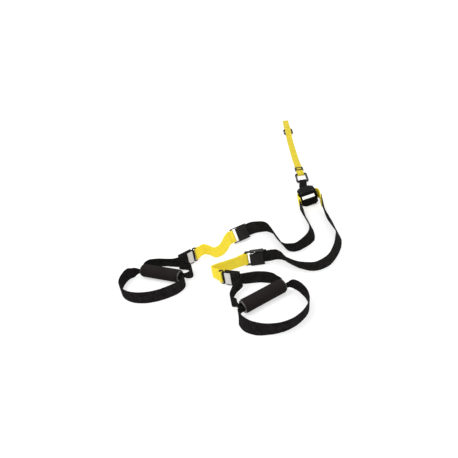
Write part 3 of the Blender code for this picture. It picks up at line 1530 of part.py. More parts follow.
def build_handle(side, trainer):
    """Ring, handle strap, block, label, grip and cradle of one side."""
    name = side.name
    ring = ring_matrix(side)
    ring_axis = ring @ Matrix.Translation((-RING_SPACING / 2, 0.0, 0.0))
    ring_empty = add_empty(f"{name}_ring_axis", ring_axis, trainer)
    add_piece(f"{name}_ring", ring_mesh(), "black_metal", ring_empty, ring)
    swing = Matrix.Translation((RING_SPACING, 0.0, 0.0))
    handle_empty = add_empty(f"{name}_handle_axis", swing, ring_empty)
    strap = strap_mesh(handle_knots(side), True)
    add_piece(f"{name}_handle_strap", strap, "black_webbing", handle_empty)
    start = RING_SPACING / 2 + BLOCK_START
    block = sleeve_mesh(start, BLOCK_LENGTH, BLOCK_HEIGHT, BLOCK_THICKNESS, BLOCK_ROUND)
    add_piece(f"{name}_sewn_block", block, "black_webbing", handle_empty, ring)
    facing = side_facing(side)
    low_y, high_y = sorted(
        (facing * (BLOCK_THICKNESS / 2 + GAP), facing * (BLOCK_THICKNESS / 2 + GAP + LABEL_THICKNESS))
    )
    label_start = RING_SPACING / 2 + LABEL_PLACE - LABEL_THICKNESS
    label = box_mesh(
        (label_start, low_y, -LABEL_HEIGHT / 2), (label_start + LABEL_LENGTH, high_y, LABEL_HEIGHT / 2)
    )
    add_piece(f"{name}_label", label, "label_cloth", handle_empty, ring)
    place = grip_matrix(side)
    local = layout_matrix(handle_empty).inverted() @ place
    grip_empty = add_empty(f"{name}_grip_axis", local, handle_empty)
    add_piece(f"{name}_grip_foam", foam_mesh(), "black_foam", grip_empty, place)
    add_piece(f"{name}_grip_tube", tube_mesh(), "black_plastic", grip_empty, place)
    add_piece(f"{name}_grip_cap_outer", cap_mesh(1.0), "black_plastic", grip_empty, place)
    add_piece(f"{name}_grip_cap_inner", cap_mesh(-1.0), "black_plastic", grip_empty, place)
    cradle_empty = add_empty(f"{name}_cradle_axis", local, handle_empty)
    cradle = strap_mesh(cradle_knots(side), True)
    add_piece(f"{name}_foot_cradle", cradle, "black_webbing", cradle_empty)


def side_facing(side):
    """Which face of the block shows to the front: the one towards -Y."""
    return -1.0 if math.cos(math.radians(side.ring_heading)) > 0.0 else 1.0


def build_legs(trainer):
    """Centre strap, legs, buckles and adjusters."""
    add_piece("centre_strap", strap_mesh(centre_knots()), "yellow_webbing", trainer)
    for side in SIDES:
        build_buckle(side, trainer)
        add_piece(f"{side.name}_leg_strap", strap_mesh(leg_knots(side)), "black_webbing", trainer)
        adjuster = strap_mesh(adjuster_knots(side))
        add_piece(f"{side.name}_adjuster_strap", adjuster, "yellow_webbing", trainer)


def build_anchor(trainer):
    """Main carabiner, anchor strap, keeper and anchor carabiner."""
    place = main_carabiner_matrix()
    lift_axis = place @ Matrix.Translation((0.0, -MAIN_CARABINER.reach, 0.0))
    carabiner_empty = add_empty("main_carabiner_axis", lift_axis, trainer)
    hinge = Matrix.Translation(MAIN_CARABINER.hinge)
    gate_local = lift_axis.inverted() @ place @ hinge
    gate_empty = add_empty("main_gate_axis", gate_local, carabiner_empty)
    build_carabiner(MAIN_CARABINER, carabiner_empty, gate_empty, place)
    strap_frame = anchor_matrix() @ Matrix.Translation((0.0, 0.0, carabiner_height()))
    strap_empty = add_empty("anchor_strap_axis", lift_axis.inverted() @ strap_frame, carabiner_empty)
    strap = strap_mesh(smooth(anchor_knots(), step=2 * STRAP_STEP))
    add_piece("anchor_strap", strap, "yellow_webbing", strap_empty)
    turn = math.atan2(
        anchor_drift(KEEPER_PLACE + KEEPER_LENGTH / 2) - anchor_drift(KEEPER_PLACE - KEEPER_LENGTH / 2),
        KEEPER_LENGTH,
    )
    spot = Matrix.Translation((KEEPER_PLACE, anchor_drift(KEEPER_PLACE), 0.0))
    keeper_place = anchor_matrix() @ spot @ Matrix.Rotation(turn, 4, "Z")
    keeper_empty = add_empty("keeper_axis", strap_frame.inverted() @ keeper_place, strap_empty)
    add_piece("anchor_keeper", keeper_mesh(), "black_plastic", keeper_empty, keeper_place)
    anchor_place = anchor_carabiner_matrix()
    pivot = anchor_place @ Matrix.Translation((0.0, ANCHOR_CARABINER.reach, 0.0))
    pivot_empty = add_empty("anchor_carabiner_axis", strap_frame.inverted() @ pivot, strap_empty)
    anchor_hinge = Matrix.Translation(ANCHOR_CARABINER.hinge)
    anchor_gate = add_empty(
        "anchor_gate_axis", pivot.inverted() @ anchor_place @ anchor_hinge, pivot_empty
    )
    build_carabiner(ANCHOR_CARABINER, pivot_empty, anchor_gate, anchor_place)


def centre_over_origin(root):
    """Move the whole part so that its box stands centred over the origin."""
    bpy.context.view_layer.update()
    corners = []
    for thing in parts.objects:
        if thing.type == "MESH":
            corners += [thing.matrix_world @ vertex.co for vertex in thing.data.vertices]
    low = Vector([min(corner[axis] for corner in corners) for axis in range(3)])
    high = Vector([max(corner[axis] for corner in corners) for axis in range(3)])
    root.location = (-(low.x + high.x) / 2, -(low.y + high.y) / 2, -low.z)
    bpy.context.view_layer.update()


clear_scene()
parts = new_collection("suspension_trainer")
guides = new_collection("cutters")
trainer = add_empty("trainer", Matrix.Identity(4), None)
build_yoke(trainer)
build_neck_loop(trainer)
build_legs(trainer)
build_anchor(trainer)
for side in SIDES:
    build_handle(side, trainer)
centre_over_origin(trainer)
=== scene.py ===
"""Looks of the suspension trainer: webbing, stitching, foam grips, buckles and carabiners.

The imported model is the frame.  Hard pieces keep their solids and get a finish.  Every
piece of webbing is lofted again with rounded edges through the sections of its solid, so
it lies exactly where the solid lies, and the foam grips are turned again with soft ends.
"""

from __future__ import annotations

import json
import logging
import math
from bisect import bisect_right
from dataclasses import dataclass
from enum import Enum
from functools import cache
from typing import Iterable, Sequence, TypeVar, Union

import bmesh
import bpy
from mathutils import Matrix, Vector


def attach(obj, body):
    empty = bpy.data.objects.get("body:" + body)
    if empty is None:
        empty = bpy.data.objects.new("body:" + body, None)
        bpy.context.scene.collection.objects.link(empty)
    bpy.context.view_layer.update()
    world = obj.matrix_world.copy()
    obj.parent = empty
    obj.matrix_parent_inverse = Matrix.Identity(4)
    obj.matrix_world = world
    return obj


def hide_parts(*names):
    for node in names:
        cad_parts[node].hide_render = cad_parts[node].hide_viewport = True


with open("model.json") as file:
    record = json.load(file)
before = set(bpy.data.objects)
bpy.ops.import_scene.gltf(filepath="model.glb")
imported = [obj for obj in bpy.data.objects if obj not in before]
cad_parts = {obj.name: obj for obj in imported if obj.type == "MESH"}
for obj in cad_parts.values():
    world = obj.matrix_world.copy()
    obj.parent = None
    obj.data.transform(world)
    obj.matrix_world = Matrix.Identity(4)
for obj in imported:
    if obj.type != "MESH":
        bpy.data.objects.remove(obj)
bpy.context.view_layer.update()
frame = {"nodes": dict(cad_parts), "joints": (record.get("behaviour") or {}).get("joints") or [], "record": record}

LOG = logging.getLogger("suspension_trainer")
TAU = 2.0 * math.pi
UP = Vector((0.0, 0.0, 1.0))
SIDES = ("left", "right")
RUN_MAP = "run"
EDGE_SHARE = "edge_share"
STRAP_THICKNESS = 0.0022
CREASE_ANGLE = math.radians(40.0)

Triple = tuple[float, float, float]
Colour = Triple
Span = tuple[float, float]
Boxes = tuple[Span, ...]
Value = Union["Signal", float, int]
Paint = Union["Signal", Colour]
Line = Sequence[Vector]
Socket = bpy.types.NodeSocket
Values = dict[Union[int, str], object]
Rung = bmesh.types.BMEdge
Ladder = dict[Rung, list[Rung]]
Kind = TypeVar("Kind", bound="ShapeTree")


# Node trees


class Tree:
    """A node tree that is built in code."""

    def __init__(self, tree: bpy.types.NodeTree) -> None:
        """Keep the tree."""
        self.tree = tree

    def connect(self, socket: Socket, value: object) -> None:
        """Link a signal or an output to an input socket, or set a plain value on it.

        Args:
            socket: The input socket.
            value: The signal, output or value, a colour without its alpha.
        """
        if isinstance(value, Signal):
            value = value.socket
        if isinstance(value, Socket):
            self.tree.links.new(value, socket)
        else:
            socket.default_value = (*value, 1.0) if socket.type == "RGBA" else value

    def node(self, kind: str, values: Values | None = None, **settings: object) -> bpy.types.Node:
        """Add a node.

        Args:
            kind: The node's type.
            values: Plain values, signals or outputs for its input sockets.
            settings: Its own settings, which are made first.

        Returns:
            The new node.
        """
        made = self.tree.nodes.new(kind)
        for key, setting in settings.items():
            setattr(made, key, setting)
        for key, value in (values or {}).items():
            self.connect(made.inputs[key], value)
        return made

    def out(self, kind: str, values: Values | None = None, **settings: object) -> Socket:
        """Add a node as node() does, and take its first output."""
        return self.node(kind, values, **settings).outputs[0]


class Signal:
    """One number or vector in a shader graph.  Arithmetic on it adds Math nodes."""

    def __init__(self, graph: Graph, socket: Socket) -> None:
        """Keep the graph and the output socket."""
        self.graph = graph
        self.socket = socket

    def __add__(self, other: Value) -> Signal:
        """Sum."""
        return self.graph.maths("ADD", self, other)

    __radd__ = __add__

    def __sub__(self, other: Value) -> Signal:
        """Difference."""
        return self.graph.maths("SUBTRACT", self, other)

    def __rsub__(self, other: Value) -> Signal:
        """Difference from a plain number."""
        return self.graph.maths("SUBTRACT", other, self)

    def __mul__(self, other: Value) -> Signal:
        """Product."""
        return self.graph.maths("MULTIPLY", self, other)

    __rmul__ = __mul__

    def wave(self) -> Signal:
        """The sine of this value, moved to lie between 0 and 1."""
        return self.graph.maths("SINE", self) * 0.5 + 0.5

    def size(self) -> Signal:
        """The absolute value."""
        return self.graph.maths("ABSOLUTE", self)

    def about(self, mean: float, spread: float) -> Signal:
        """This value, from 0 to 1, as a spread about a mean."""
        return self * spread + (mean - spread / 2.0)

    def over(self, low: float, high: float) -> Signal:
        """A clamped ramp from 0 at low to 1 at high."""
        ends = {"Value": self, "From Min": low, "From Max": high}
        return self.graph.signal("Result", "ShaderNodeMapRange", ends, clamp=True)

    def parts(self) -> list[Signal]:
        """The three numbers of this vector."""
        split = self.graph.node("ShaderNodeSeparateXYZ", {0: self})
        return [Signal(self.graph, socket) for socket in split.outputs]


class Graph(Tree):
    """One material's node tree."""

    MIX_FACTOR, MIX_LOW, MIX_HIGH, MIX_RESULT = 0, 6, 7, 2
    NOISE_ROUGHNESS = 0.6

    def __init__(self, name: str) -> None:
        """Start a material with one Principled shader.

        Args:
            name: The material's name.
        """
        self.material = bpy.data.materials.new(name)
        self.material.use_nodes = True
        super().__init__(self.material.node_tree)
        self.shader = self.tree.nodes["Principled BSDF"]

    def signal(
        self, output: Union[int, str], kind: str, values: Values | None = None, **settings: object
    ) -> Signal:
        """Add a node as node() does, and take one output by its name or number."""
        return Signal(self, self.node(kind, values, **settings).outputs[output])

    def maths(self, operation: str, first: Value, second: Value = 0.0) -> Signal:
        """A Math node's result on one or two values."""
        return self.signal(0, "ShaderNodeMath", {0: first, 1: second}, operation=operation)

    def place(self) -> Signal:
        """The point on the piece, in metres."""
        return self.signal("Object", "ShaderNodeTexCoord")

    def run(self) -> list[Signal]:
        """Metres along and across a strap, from its own map."""
        return self.signal("UV", "ShaderNodeUVMap", uv_map=RUN_MAP).parts()[:2]

    def attribute(self, name: str) -> Signal:
        """A number stored on the piece's points."""
        return self.signal("Fac", "ShaderNodeAttribute", attribute_name=name)

    def noise(self, scale: float, detail: float, stretch: Triple = (1.0, 1.0, 1.0)) -> Signal:
        """Cloudy noise over the piece.

        Args:
            scale: Patches per metre.
            detail: How many finer layers are added.
            stretch: Factors on the three axes.

        Returns:
            A value about 0.5.
        """
        point = self.signal(0, "ShaderNodeMapping", {"Vector": self.place(), "Scale": stretch})
        values = {"Vector": point, "Scale": scale, "Detail": detail}
        values["Roughness"] = self.NOISE_ROUGHNESS
        return self.signal("Fac", "ShaderNodeTexNoise", values, noise_dimensions="3D")

    def cells(self, scale: float) -> Signal:
        """The distance to the nearest of so many pores per metre."""
        values = {"Vector": self.place(), "Scale": scale}
        return self.signal("Distance", "ShaderNodeTexVoronoi", values, feature="F1")

    def blend(self, low: Paint, high: Paint, amount: Value) -> Signal:
        """A mix of two colours, the first at 0 and the second at 1."""
        values = {self.MIX_FACTOR: amount, self.MIX_LOW: low, self.MIX_HIGH: high}
        return self.signal(self.MIX_RESULT, "ShaderNodeMix", values, data_type="RGBA")

    def relief(self, height: Signal, depth: float, strength: float) -> Signal:
        """A bumped normal, from a height of 0 to 1, its depth in metres and how much shows."""
        values = {"Height": height, "Distance": depth, "Strength": strength}
        return self.signal("Normal", "ShaderNodeBump", values)

    def feed(self, **inputs: object) -> None:
        """Set or link the shader's sockets, spaces in their names written as underscores."""
        for key, value in inputs.items():
            self.connect(self.shader.inputs[key.replace("_", " ")], value)


# Finishes


@dataclass(frozen=True)
class Finish:
    """A surface of one main colour.

    Its tones are the darkest and the brightest factor on the colour, its roughness is a mean
    and a spread, and its relief is a depth in metres and how much of it shows.  A noise in
    the finishes below is its patches per metre and how many finer layers it has.
    """

    colour: Colour
    tones: Span = (0.80, 1.0)
    roughness: Span = (0.5, 0.1)
    relief: Span = (0.00005, 0.6)
    gloss: float = 0.5

    def scaled(self, factor: float) -> Colour:
        """The main colour, brighter or darker."""
        return tuple(part * factor for part in self.colour)

    def shaded(self, graph: Graph, amount: Signal) -> Signal:
        """The main colour, from its darkest at 0 to its brightest at 1."""
        dark, bright = self.tones
        return graph.blend(self.scaled(dark), self.scaled(bright), amount)

    def feed(
        self, graph: Graph, colour: Signal, rough: Signal, height: Signal, **others: Value
    ) -> None:
        """Feed the shader.

        Args:
            graph: The material's graph.
            colour: The colour.
            rough: What the roughness follows, from 0 to 1.
            height: What the relief follows, from 0 to 1.
            others: Values for other sockets.
        """
        graph.feed(
            Base_Color=colour,
            Roughness=rough.about(*self.roughness),
            Normal=graph.relief(height, *self.relief),
            Specular_IOR_Level=self.gloss,
            **others,
        )

    def paint(self, graph: Graph) -> None:
        """Make the surface's nodes."""
        raise NotImplementedError


@dataclass(frozen=True)
class Webbing(Finish):
    """Flat woven webbing with a chevron twill and a bound edge."""

    tones: Span = (0.22, 1.0)
    roughness: Span = (0.82, 0.12)
    relief: Span = (0.00022, 0.9)
    gloss: float = 0.01
    fuzz: float = 0.5
    mottle: float = 0.5
    twill_pitch: float = 0.0026
    chevron_slant: float = 0.0034
    warp_pitch: float = 0.0011
    twill_share: float = 0.65
    body_end: Span = (0.86, 0.88)
    binding_start: Span = (0.88, 0.90)
    binding_height: float = 0.8
    worn_edge: Span = (0.93, 1.0)
    fibres: Span = (900.0, 3.0)
    patches: Span = (80.0, 3.0)
    patch_range: Span = (0.34, 0.66)
    weave_tone: float = 0.50
    fibre_tone: float = 0.20
    tone_start: float = 0.125
    weave_share: float = 0.8
    dark_below: float = 0.5
    dark_fuzz_glow: float = 1.6

    def paint(self, graph: Graph) -> None:
        """Weave the body and its binding, mottle them, and fuzz the worn edge.

        Args:
            graph: The material's graph.
        """
        along, across = graph.run()
        edge = graph.attribute(EDGE_SHARE)
        slant = across.size() * (TAU / self.chevron_slant)
        twill = (along * (TAU / self.twill_pitch) + slant).wave()
        warp = (across * (TAU / self.warp_pitch)).wave()
        weft = (along * (TAU / self.warp_pitch)).wave()
        body = twill * self.twill_share + warp * (1.0 - self.twill_share)
        binding = edge.over(*self.binding_start) * weft * self.binding_height
        weave = (1.0 - edge.over(*self.body_end)) * body + binding
        fibres = graph.noise(*self.fibres)
        patches = graph.noise(*self.patches).over(*self.patch_range) - 0.5
        tone = weave * self.weave_tone + fibres * self.fibre_tone + patches * self.mottle
        worn = edge.over(*self.worn_edge) * fibres * self.fuzz
        glow = self.dark_fuzz_glow if max(self.colour) < self.dark_below else 1.0
        base = self.shaded(graph, tone + self.tone_start)
        height = weave * self.weave_share + fibres * (1.0 - self.weave_share)
        self.feed(graph, graph.blend(base, self.scaled(glow), worn), fibres, height)


@dataclass(frozen=True)
class Foam(Finish):
    """Closed-cell foam rubber, dull and finely pored."""

    tones: Span = (0.62, 1.25)
    roughness: Span = (0.92, -0.10)
    relief: Span = (0.00022, 0.8)
    gloss: float = 0.02
    pore_scale: float = 1400.0
    pore_reach: float = 0.45
    pore_share: float = 0.5
    skin: Span = (160.0, 4.0)
    patches: Span = (28.0, 2.0)
    patch_tone: float = 0.7
    pore_tone: float = 0.3
    tone_drop: float = 0.05

    def paint(self, graph: Graph) -> None:
        """Pit the skin with pores and cloud its colour.

        Args:
            graph: The material's graph.
        """
        pores = graph.cells(self.pore_scale).over(0.0, self.pore_reach)
        skin = graph.noise(*self.skin)
        tone = graph.noise(*self.patches) * self.patch_tone + pores * self.pore_tone
        height = pores * self.pore_share + skin * (1.0 - self.pore_share)
        self.feed(graph, self.shaded(graph, tone - self.tone_drop), skin, height)


@dataclass(frozen=True)
class Moulding(Finish):
    """Moulded plastic with a fine spark-eroded grain."""

    tones: Span = (0.8, 1.25)
    roughness: Span = (0.45, 0.18)
    relief: Span = (0.00006, 0.7)
    gloss: float = 0.12
    grain: Span = (2600.0, 2.0)
    handling: Span = (60.0, 3.0)

    def paint(self, graph: Graph) -> None:
        """Grain the surface and polish it in patches where hands go."""
        handling = graph.noise(*self.handling)
        self.feed(graph, self.shaded(graph, handling), handling, graph.noise(*self.grain))


@dataclass(frozen=True)
class CoatedMetal(Finish):
    """Steel under a thin black coat that is rubbed in places."""

    roughness: Span = (0.37, 0.14)
    gloss: float = 0.14
    peel: Span = (900.0, 2.0)
    rubbed: Colour = (0.20, 0.20, 0.21)
    rubs: Span = (140.0, 4.0)
    rub_stretch: Triple = (1.0, 0.35, 1.0)
    rub_range: Span = (0.60, 0.82)
    rub_share: float = 0.35

    def paint(self, graph: Graph) -> None:
        """Ripple the coat and rub it through in places.

        Args:
            graph: The material's graph.
        """
        peel = graph.noise(*self.peel)
        rubs = graph.noise(*self.rubs, self.rub_stretch).over(*self.rub_range) * self.rub_share
        self.feed(graph, graph.blend(self.colour, self.rubbed, rubs), peel, peel, Metallic=rubs)


@dataclass(frozen=True)
class Lined(Finish):
    """A surface that one fine noise marks in tone, roughness and relief."""

    lines: Span = (3000.0, 2.0)
    stretch: Triple = (1.0, 1.0, 1.0)
    metallic: float = 0.0

    def paint(self, graph: Graph) -> None:
        """Draw the lines."""
        lines = graph.noise(*self.lines, self.stretch)
        self.feed(graph, self.shaded(graph, lines), lines, lines, Metallic=self.metallic)


@dataclass(frozen=True)
class BareSteel(Lined):
    """Drawn steel."""

    tones: Span = (0.75, 1.0)
    roughness: Span = (0.315, 0.15)
    relief: Span = (0.00003, 0.5)
    lines: Span = (500.0, 3.0)
    stretch: Triple = (1.0, 1.0, 8.0)
    metallic: float = 1.0


@dataclass(frozen=True)
class Thread(Lined):
    """Twisted sewing thread."""

    tones: Span = (0.7, 1.3)
    roughness: Span = (0.60, 0.1)
    gloss: float = 0.35


@dataclass(frozen=True)
class PlainPatch(Finish):
    """A pale strip or cloth label, left bare."""

    relief: Span = (0.00008, 0.6)
    gloss: float = 0.3
    weave_pitch: float = 0.0009
    weave_tone: float = 0.3
    soil: Span = (120.0, 4.0)
    soil_tone: float = 0.9

    def paint(self, graph: Graph) -> None:
        """Weave the cloth and soil it a little.

        Args:
            graph: The material's graph.
        """
        x, y, z = graph.place().parts()
        warp = ((x + y) * (TAU / self.weave_pitch)).wave()
        weave = warp * (z * (TAU / self.weave_pitch)).wave()
        soil = graph.noise(*self.soil)
        tone = soil * self.soil_tone + weave * self.weave_tone
        self.feed(graph, self.shaded(graph, tone), soil, weave)


class Finishes(Enum):
    """Every finish on the trainer."""

    YELLOW_WEBBING = Webbing((0.98, 0.79, 0.055), (0.80, 1.0), gloss=0.12, fuzz=0.25, mottle=0.35)
    ANCHOR_WEBBING = Webbing((0.76, 0.61, 0.042), (0.60, 1.0), gloss=0.12, fuzz=0.25)
    BLACK_WEBBING = Webbing((0.0215, 0.0205, 0.0195))
    CRADLE_WEBBING = Webbing((0.0205, 0.0180, 0.0182), fuzz=0.6)
    # The neck loop is the same black webbing, painted darker: painted shade that offsets the extra light on its
    # flat, up-facing face.
    NECK_WEBBING_PAINTED_SHADE = Webbing((0.0120, 0.0105, 0.0120), (0.25, 1.0))
    GRIP_FOAM = Foam((0.0175, 0.0145, 0.0138))
    YOKE_PLASTIC = Moulding((0.0060, 0.0060, 0.0058), gloss=0.012)
    HARD_PLASTIC = Moulding((0.010, 0.010, 0.0100), roughness=(0.38, 0.18), gloss=0.07)
    CAM_PLASTIC = Moulding((0.0125, 0.0115, 0.0110), roughness=(0.42, 0.18))
    # The grip caps are a glossier plastic. Their colour is also set lighter than the other plastics as a painted
    # highlight, so the caps' rims read as lit.
    CAP_PLASTIC_PAINTED_HIGHLIGHT = Moulding((0.060, 0.052, 0.052), roughness=(0.34, 0.18), gloss=0.45)
    COATED_METAL = CoatedMetal((0.008, 0.008, 0.009))
    STEEL = BareSteel((0.62, 0.62, 0.63))
    DARK_STEEL = BareSteel((0.045, 0.045, 0.047))
    WHITE_STRIP = PlainPatch((0.90, 0.90, 0.89))
    LABEL_CLOTH = PlainPatch((0.72, 0.71, 0.70), roughness=(0.85, 0.1), weave_pitch=0.0008)
    BLACK_THREAD = Thread((0.035, 0.033, 0.034))
    YELLOW_THREAD = Thread((0.80, 0.52, 0.03))


@cache
def finish(kind: Finishes) -> bpy.types.Material:
    """The material of a finish, made once.

    Args:
        kind: The finish.

    Returns:
        The material, under the finish's own name.
    """
    graph = Graph(kind.name.lower())
    kind.value.paint(graph)
    return graph.material


# Helpers for meshes and pieces


def body_of(node: str) -> str:
    """The body that a CAD node belongs to."""
    bodies = frame["record"]["behaviour"]["bodies"]
    return next(body for body, members in bodies.items() if node in members)


def slot_of(node: str) -> str:
    """The record's material slot of a CAD node."""
    rows = frame["record"]["subparts"]
    return next(row["material_slot"] for row in rows if row["node"] == node)


def joint_place(name: str) -> Vector:
    """A joint's point in the frame."""
    return Vector(next(row["pos_m"] for row in frame["joints"] if row["name"] == name))


def joint_axis(name: str) -> Vector:
    """A joint's axis in the frame."""
    return Vector(next(row["axis"] for row in frame["joints"] if row["name"] == name)).normalized()


def points_of(node: str) -> list[Vector]:
    """The points of a CAD node's mesh."""
    return [Vector(vertex.co) for vertex in frame["nodes"][node].data.vertices]


def frame_of(x: Vector, y: Vector, z: Vector, origin: Vector) -> Matrix:
    """The matrix that takes a frame's own coordinates to the part's."""
    return Matrix.Translation(origin) @ Matrix((x, y, z)).transposed().to_4x4()


def add_object(name: str, data: bpy.types.ID) -> bpy.types.Object:
    """Link a new object.

    Args:
        name: Its name.
        data: Its mesh, camera or light.

    Returns:
        The object.
    """
    made = bpy.data.objects.new(name, data)
    bpy.context.scene.collection.objects.link(made)
    return made


def add_piece(
    name: str, mesh: bpy.types.Mesh, kind: Finishes, node: str, stands_for: bool = False
) -> bpy.types.Object:
    """Link a finished mesh as one piece of the part.

    Args:
        name: The piece's name.
        mesh: Its mesh, in the frame's coordinates.
        kind: Its finish.
        node: The CAD node whose body it rides on.
        stands_for: Whether it replaces that node.

    Returns:
        The object.
    """
    made = add_object(name, mesh)
    mesh.materials.clear()
    mesh.materials.append(finish(kind))
    if stands_for:
        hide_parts(node)
    slot_of(node)
    body = body_of(node)
    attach(made, body)
    LOG.info("%s: %d faces, rides on %s", name, len(mesh.polygons), body)
    return made


def plain_mesh(built: bmesh.types.BMesh) -> bpy.types.Mesh:
    """Turn a bmesh into a mesh.

    Args:
        built: The bmesh, which is freed.

    Returns:
        The mesh.
    """
    made = bpy.data.meshes.new("piece")
    built.to_mesh(made)
    built.free()
    return made


def smooth_mesh(built: bmesh.types.BMesh) -> bpy.types.Mesh:
    """Turn a bmesh into a mesh that is shaded smooth between its creases.

    Args:
        built: The bmesh, which is freed.

    Returns:
        The mesh.
    """
    made = plain_mesh(built)
    made.shade_smooth()
    made.set_sharp_from_angle(angle=CREASE_ANGLE)
    return made


def ring_mesh(rows: Sequence[Line]) -> bpy.types.Mesh:
    """Skin a closed run of closed rings.

    Args:
        rows: The rings' points, as many in each.

    Returns:
        The mesh.
    """
    built = bmesh.new()
    rings = [[built.verts.new(point) for point in row] for row in rows]
    for here, beside in zip(rings, rings[1:] + rings[:1]):
        for index in range(len(here)):
            after = (index + 1) % len(here)
            built.faces.new((here[index], here[after], beside[after], beside[index]))
    bmesh.ops.recalc_face_normals(built, faces=built.faces)
    return smooth_mesh(built)


# Geometry Nodes trees


class ShapeTree(Tree):
    """A Geometry Nodes tree with named inputs."""

    def __init__(self, name: str, **inputs: str) -> None:
        """Start the tree.

        Args:
            name: Its name.
            inputs: The kind of each input besides the geometry.
        """
        super().__init__(bpy.data.node_groups.new(name, "GeometryNodeTree"))
        face = self.tree.interface
        for title, kind in {"Geometry": "Geometry", **inputs}.items():
            face.new_socket(title, in_out="INPUT", socket_type=f"NodeSocket{kind}")
        face.new_socket("Geometry", in_out="OUTPUT", socket_type="NodeSocketGeometry")
        self.given = self.node("NodeGroupInput").outputs

    def grown(self, base: bpy.types.Mesh, **sizes: object) -> bpy.types.Mesh:
        """Run the tree on a mesh.

        Args:
            base: The mesh.
            sizes: A value for each named input.

        Returns:
            The result as a plain smooth mesh.
        """
        holder = add_object("holder", base)
        step = holder.modifiers.new("tree", "NODES")
        step.node_group = self.tree
        for socket in self.tree.interface.items_tree:
            if socket.in_out == "INPUT" and socket.name in sizes:
                step[socket.identifier] = sizes[socket.name]
        graph = bpy.context.evaluated_depsgraph_get()
        made = bpy.data.meshes.new_from_object(holder.evaluated_get(graph), depsgraph=graph)
        bpy.data.objects.remove(holder)
        made.shade_smooth()
        return made


@cache
def shared(kind: type[Kind]) -> Kind:
    """The tree of a kind, made once."""
    return kind()


class BeadTree(ShapeTree):
    """A tree that sets a long bead, of named length and radius, on each point of a row."""

    def __init__(self, name: str, **inputs: str) -> None:
        """Start the tree with the kinds of the inputs that its row needs."""
        super().__init__(name, **inputs, Length="Float", Radius="Float", Finish="Material")

    def set_beads(self, row: Values, segments: int, rings: int) -> None:
        """End the tree with the beads.

        Args:
            row: The points, and the turn of the beads on them where they have one.
            segments: The sides of a bead.
            rings: The rings of a bead.
        """
        given = self.given
        half = self.out("ShaderNodeMath", {0: given["Length"], 1: 0.5}, operation="MULTIPLY")
        size = {"X": given["Radius"], "Y": given["Radius"], "Z": half}
        size = self.out("ShaderNodeCombineXYZ", size)
        sides = {"Segments": segments, "Rings": rings, "Radius": 1.0}
        bead = self.out("GeometryNodeMeshUVSphere", sides)
        laid = self.out("GeometryNodeInstanceOnPoints", {**row, "Instance": bead, "Scale": size})
        real = self.out("GeometryNodeRealizeInstances", {"Geometry": laid})
        dressed = {"Geometry": real, "Material": given["Finish"]}
        self.node("NodeGroupOutput", {"Geometry": self.out("GeometryNodeSetMaterial", dressed)})


@dataclass(frozen=True)
class Stitch:
    """The sizes of a row's stitches."""

    spacing: float = 0.0026
    length: float = 0.0021
    radius: float = 0.00028


class StitchTree(BeadTree):
    """The stitches along lines."""

    def __init__(self) -> None:
        """Build the tree."""
        super().__init__("stitches", Spacing="Float")
        curve = self.out("GeometryNodeMeshToCurve", {"Mesh": self.given["Geometry"]})
        spaced = {"Curve": curve, "Length": self.given["Spacing"]}
        points = self.out("GeometryNodeResampleCurve", spaced, mode="LENGTH")
        tangent = self.out("GeometryNodeInputTangent")
        turn = self.out("FunctionNodeAlignRotationToVector", {"Vector": tangent}, axis="Z")
        self.set_beads({"Points": points, "Rotation": turn}, segments=6, rings=4)

    def sew(
        self, stem: str, node: str, thread: Finishes, lines: Iterable[Line],
        stitch: Stitch = Stitch(),
    ) -> None:
        """Add the stitches along some lines as one piece.

        Args:
            stem: The start of the piece's name.
            node: The CAD node that they ride with.
            thread: The thread's finish.
            lines: Each line's points.
            stitch: The stitches' sizes.
        """
        built = bmesh.new()
        for line in lines:
            verts = [built.verts.new(point) for point in line]
            for ends in zip(verts, verts[1:]):
                built.edges.new(ends)
        mesh = self.grown(
            plain_mesh(built), Spacing=stitch.spacing, Length=stitch.length, Radius=stitch.radius,
            Finish=finish(thread),
        )
        add_piece(f"{stem}_stitches", mesh, thread, node)


class RibTree(BeadTree):
    """A row of round ribs."""

    def __init__(self) -> None:
        """Build the tree."""
        super().__init__("ribs", Count="Int", Pitch="Float")
        step = self.out("ShaderNodeCombineXYZ", {"X": self.given["Pitch"]})
        row = {"Count": self.given["Count"], "Offset": step}
        self.set_beads({"Points": self.out("GeometryNodeMeshLine", row)}, segments=12, rings=16)


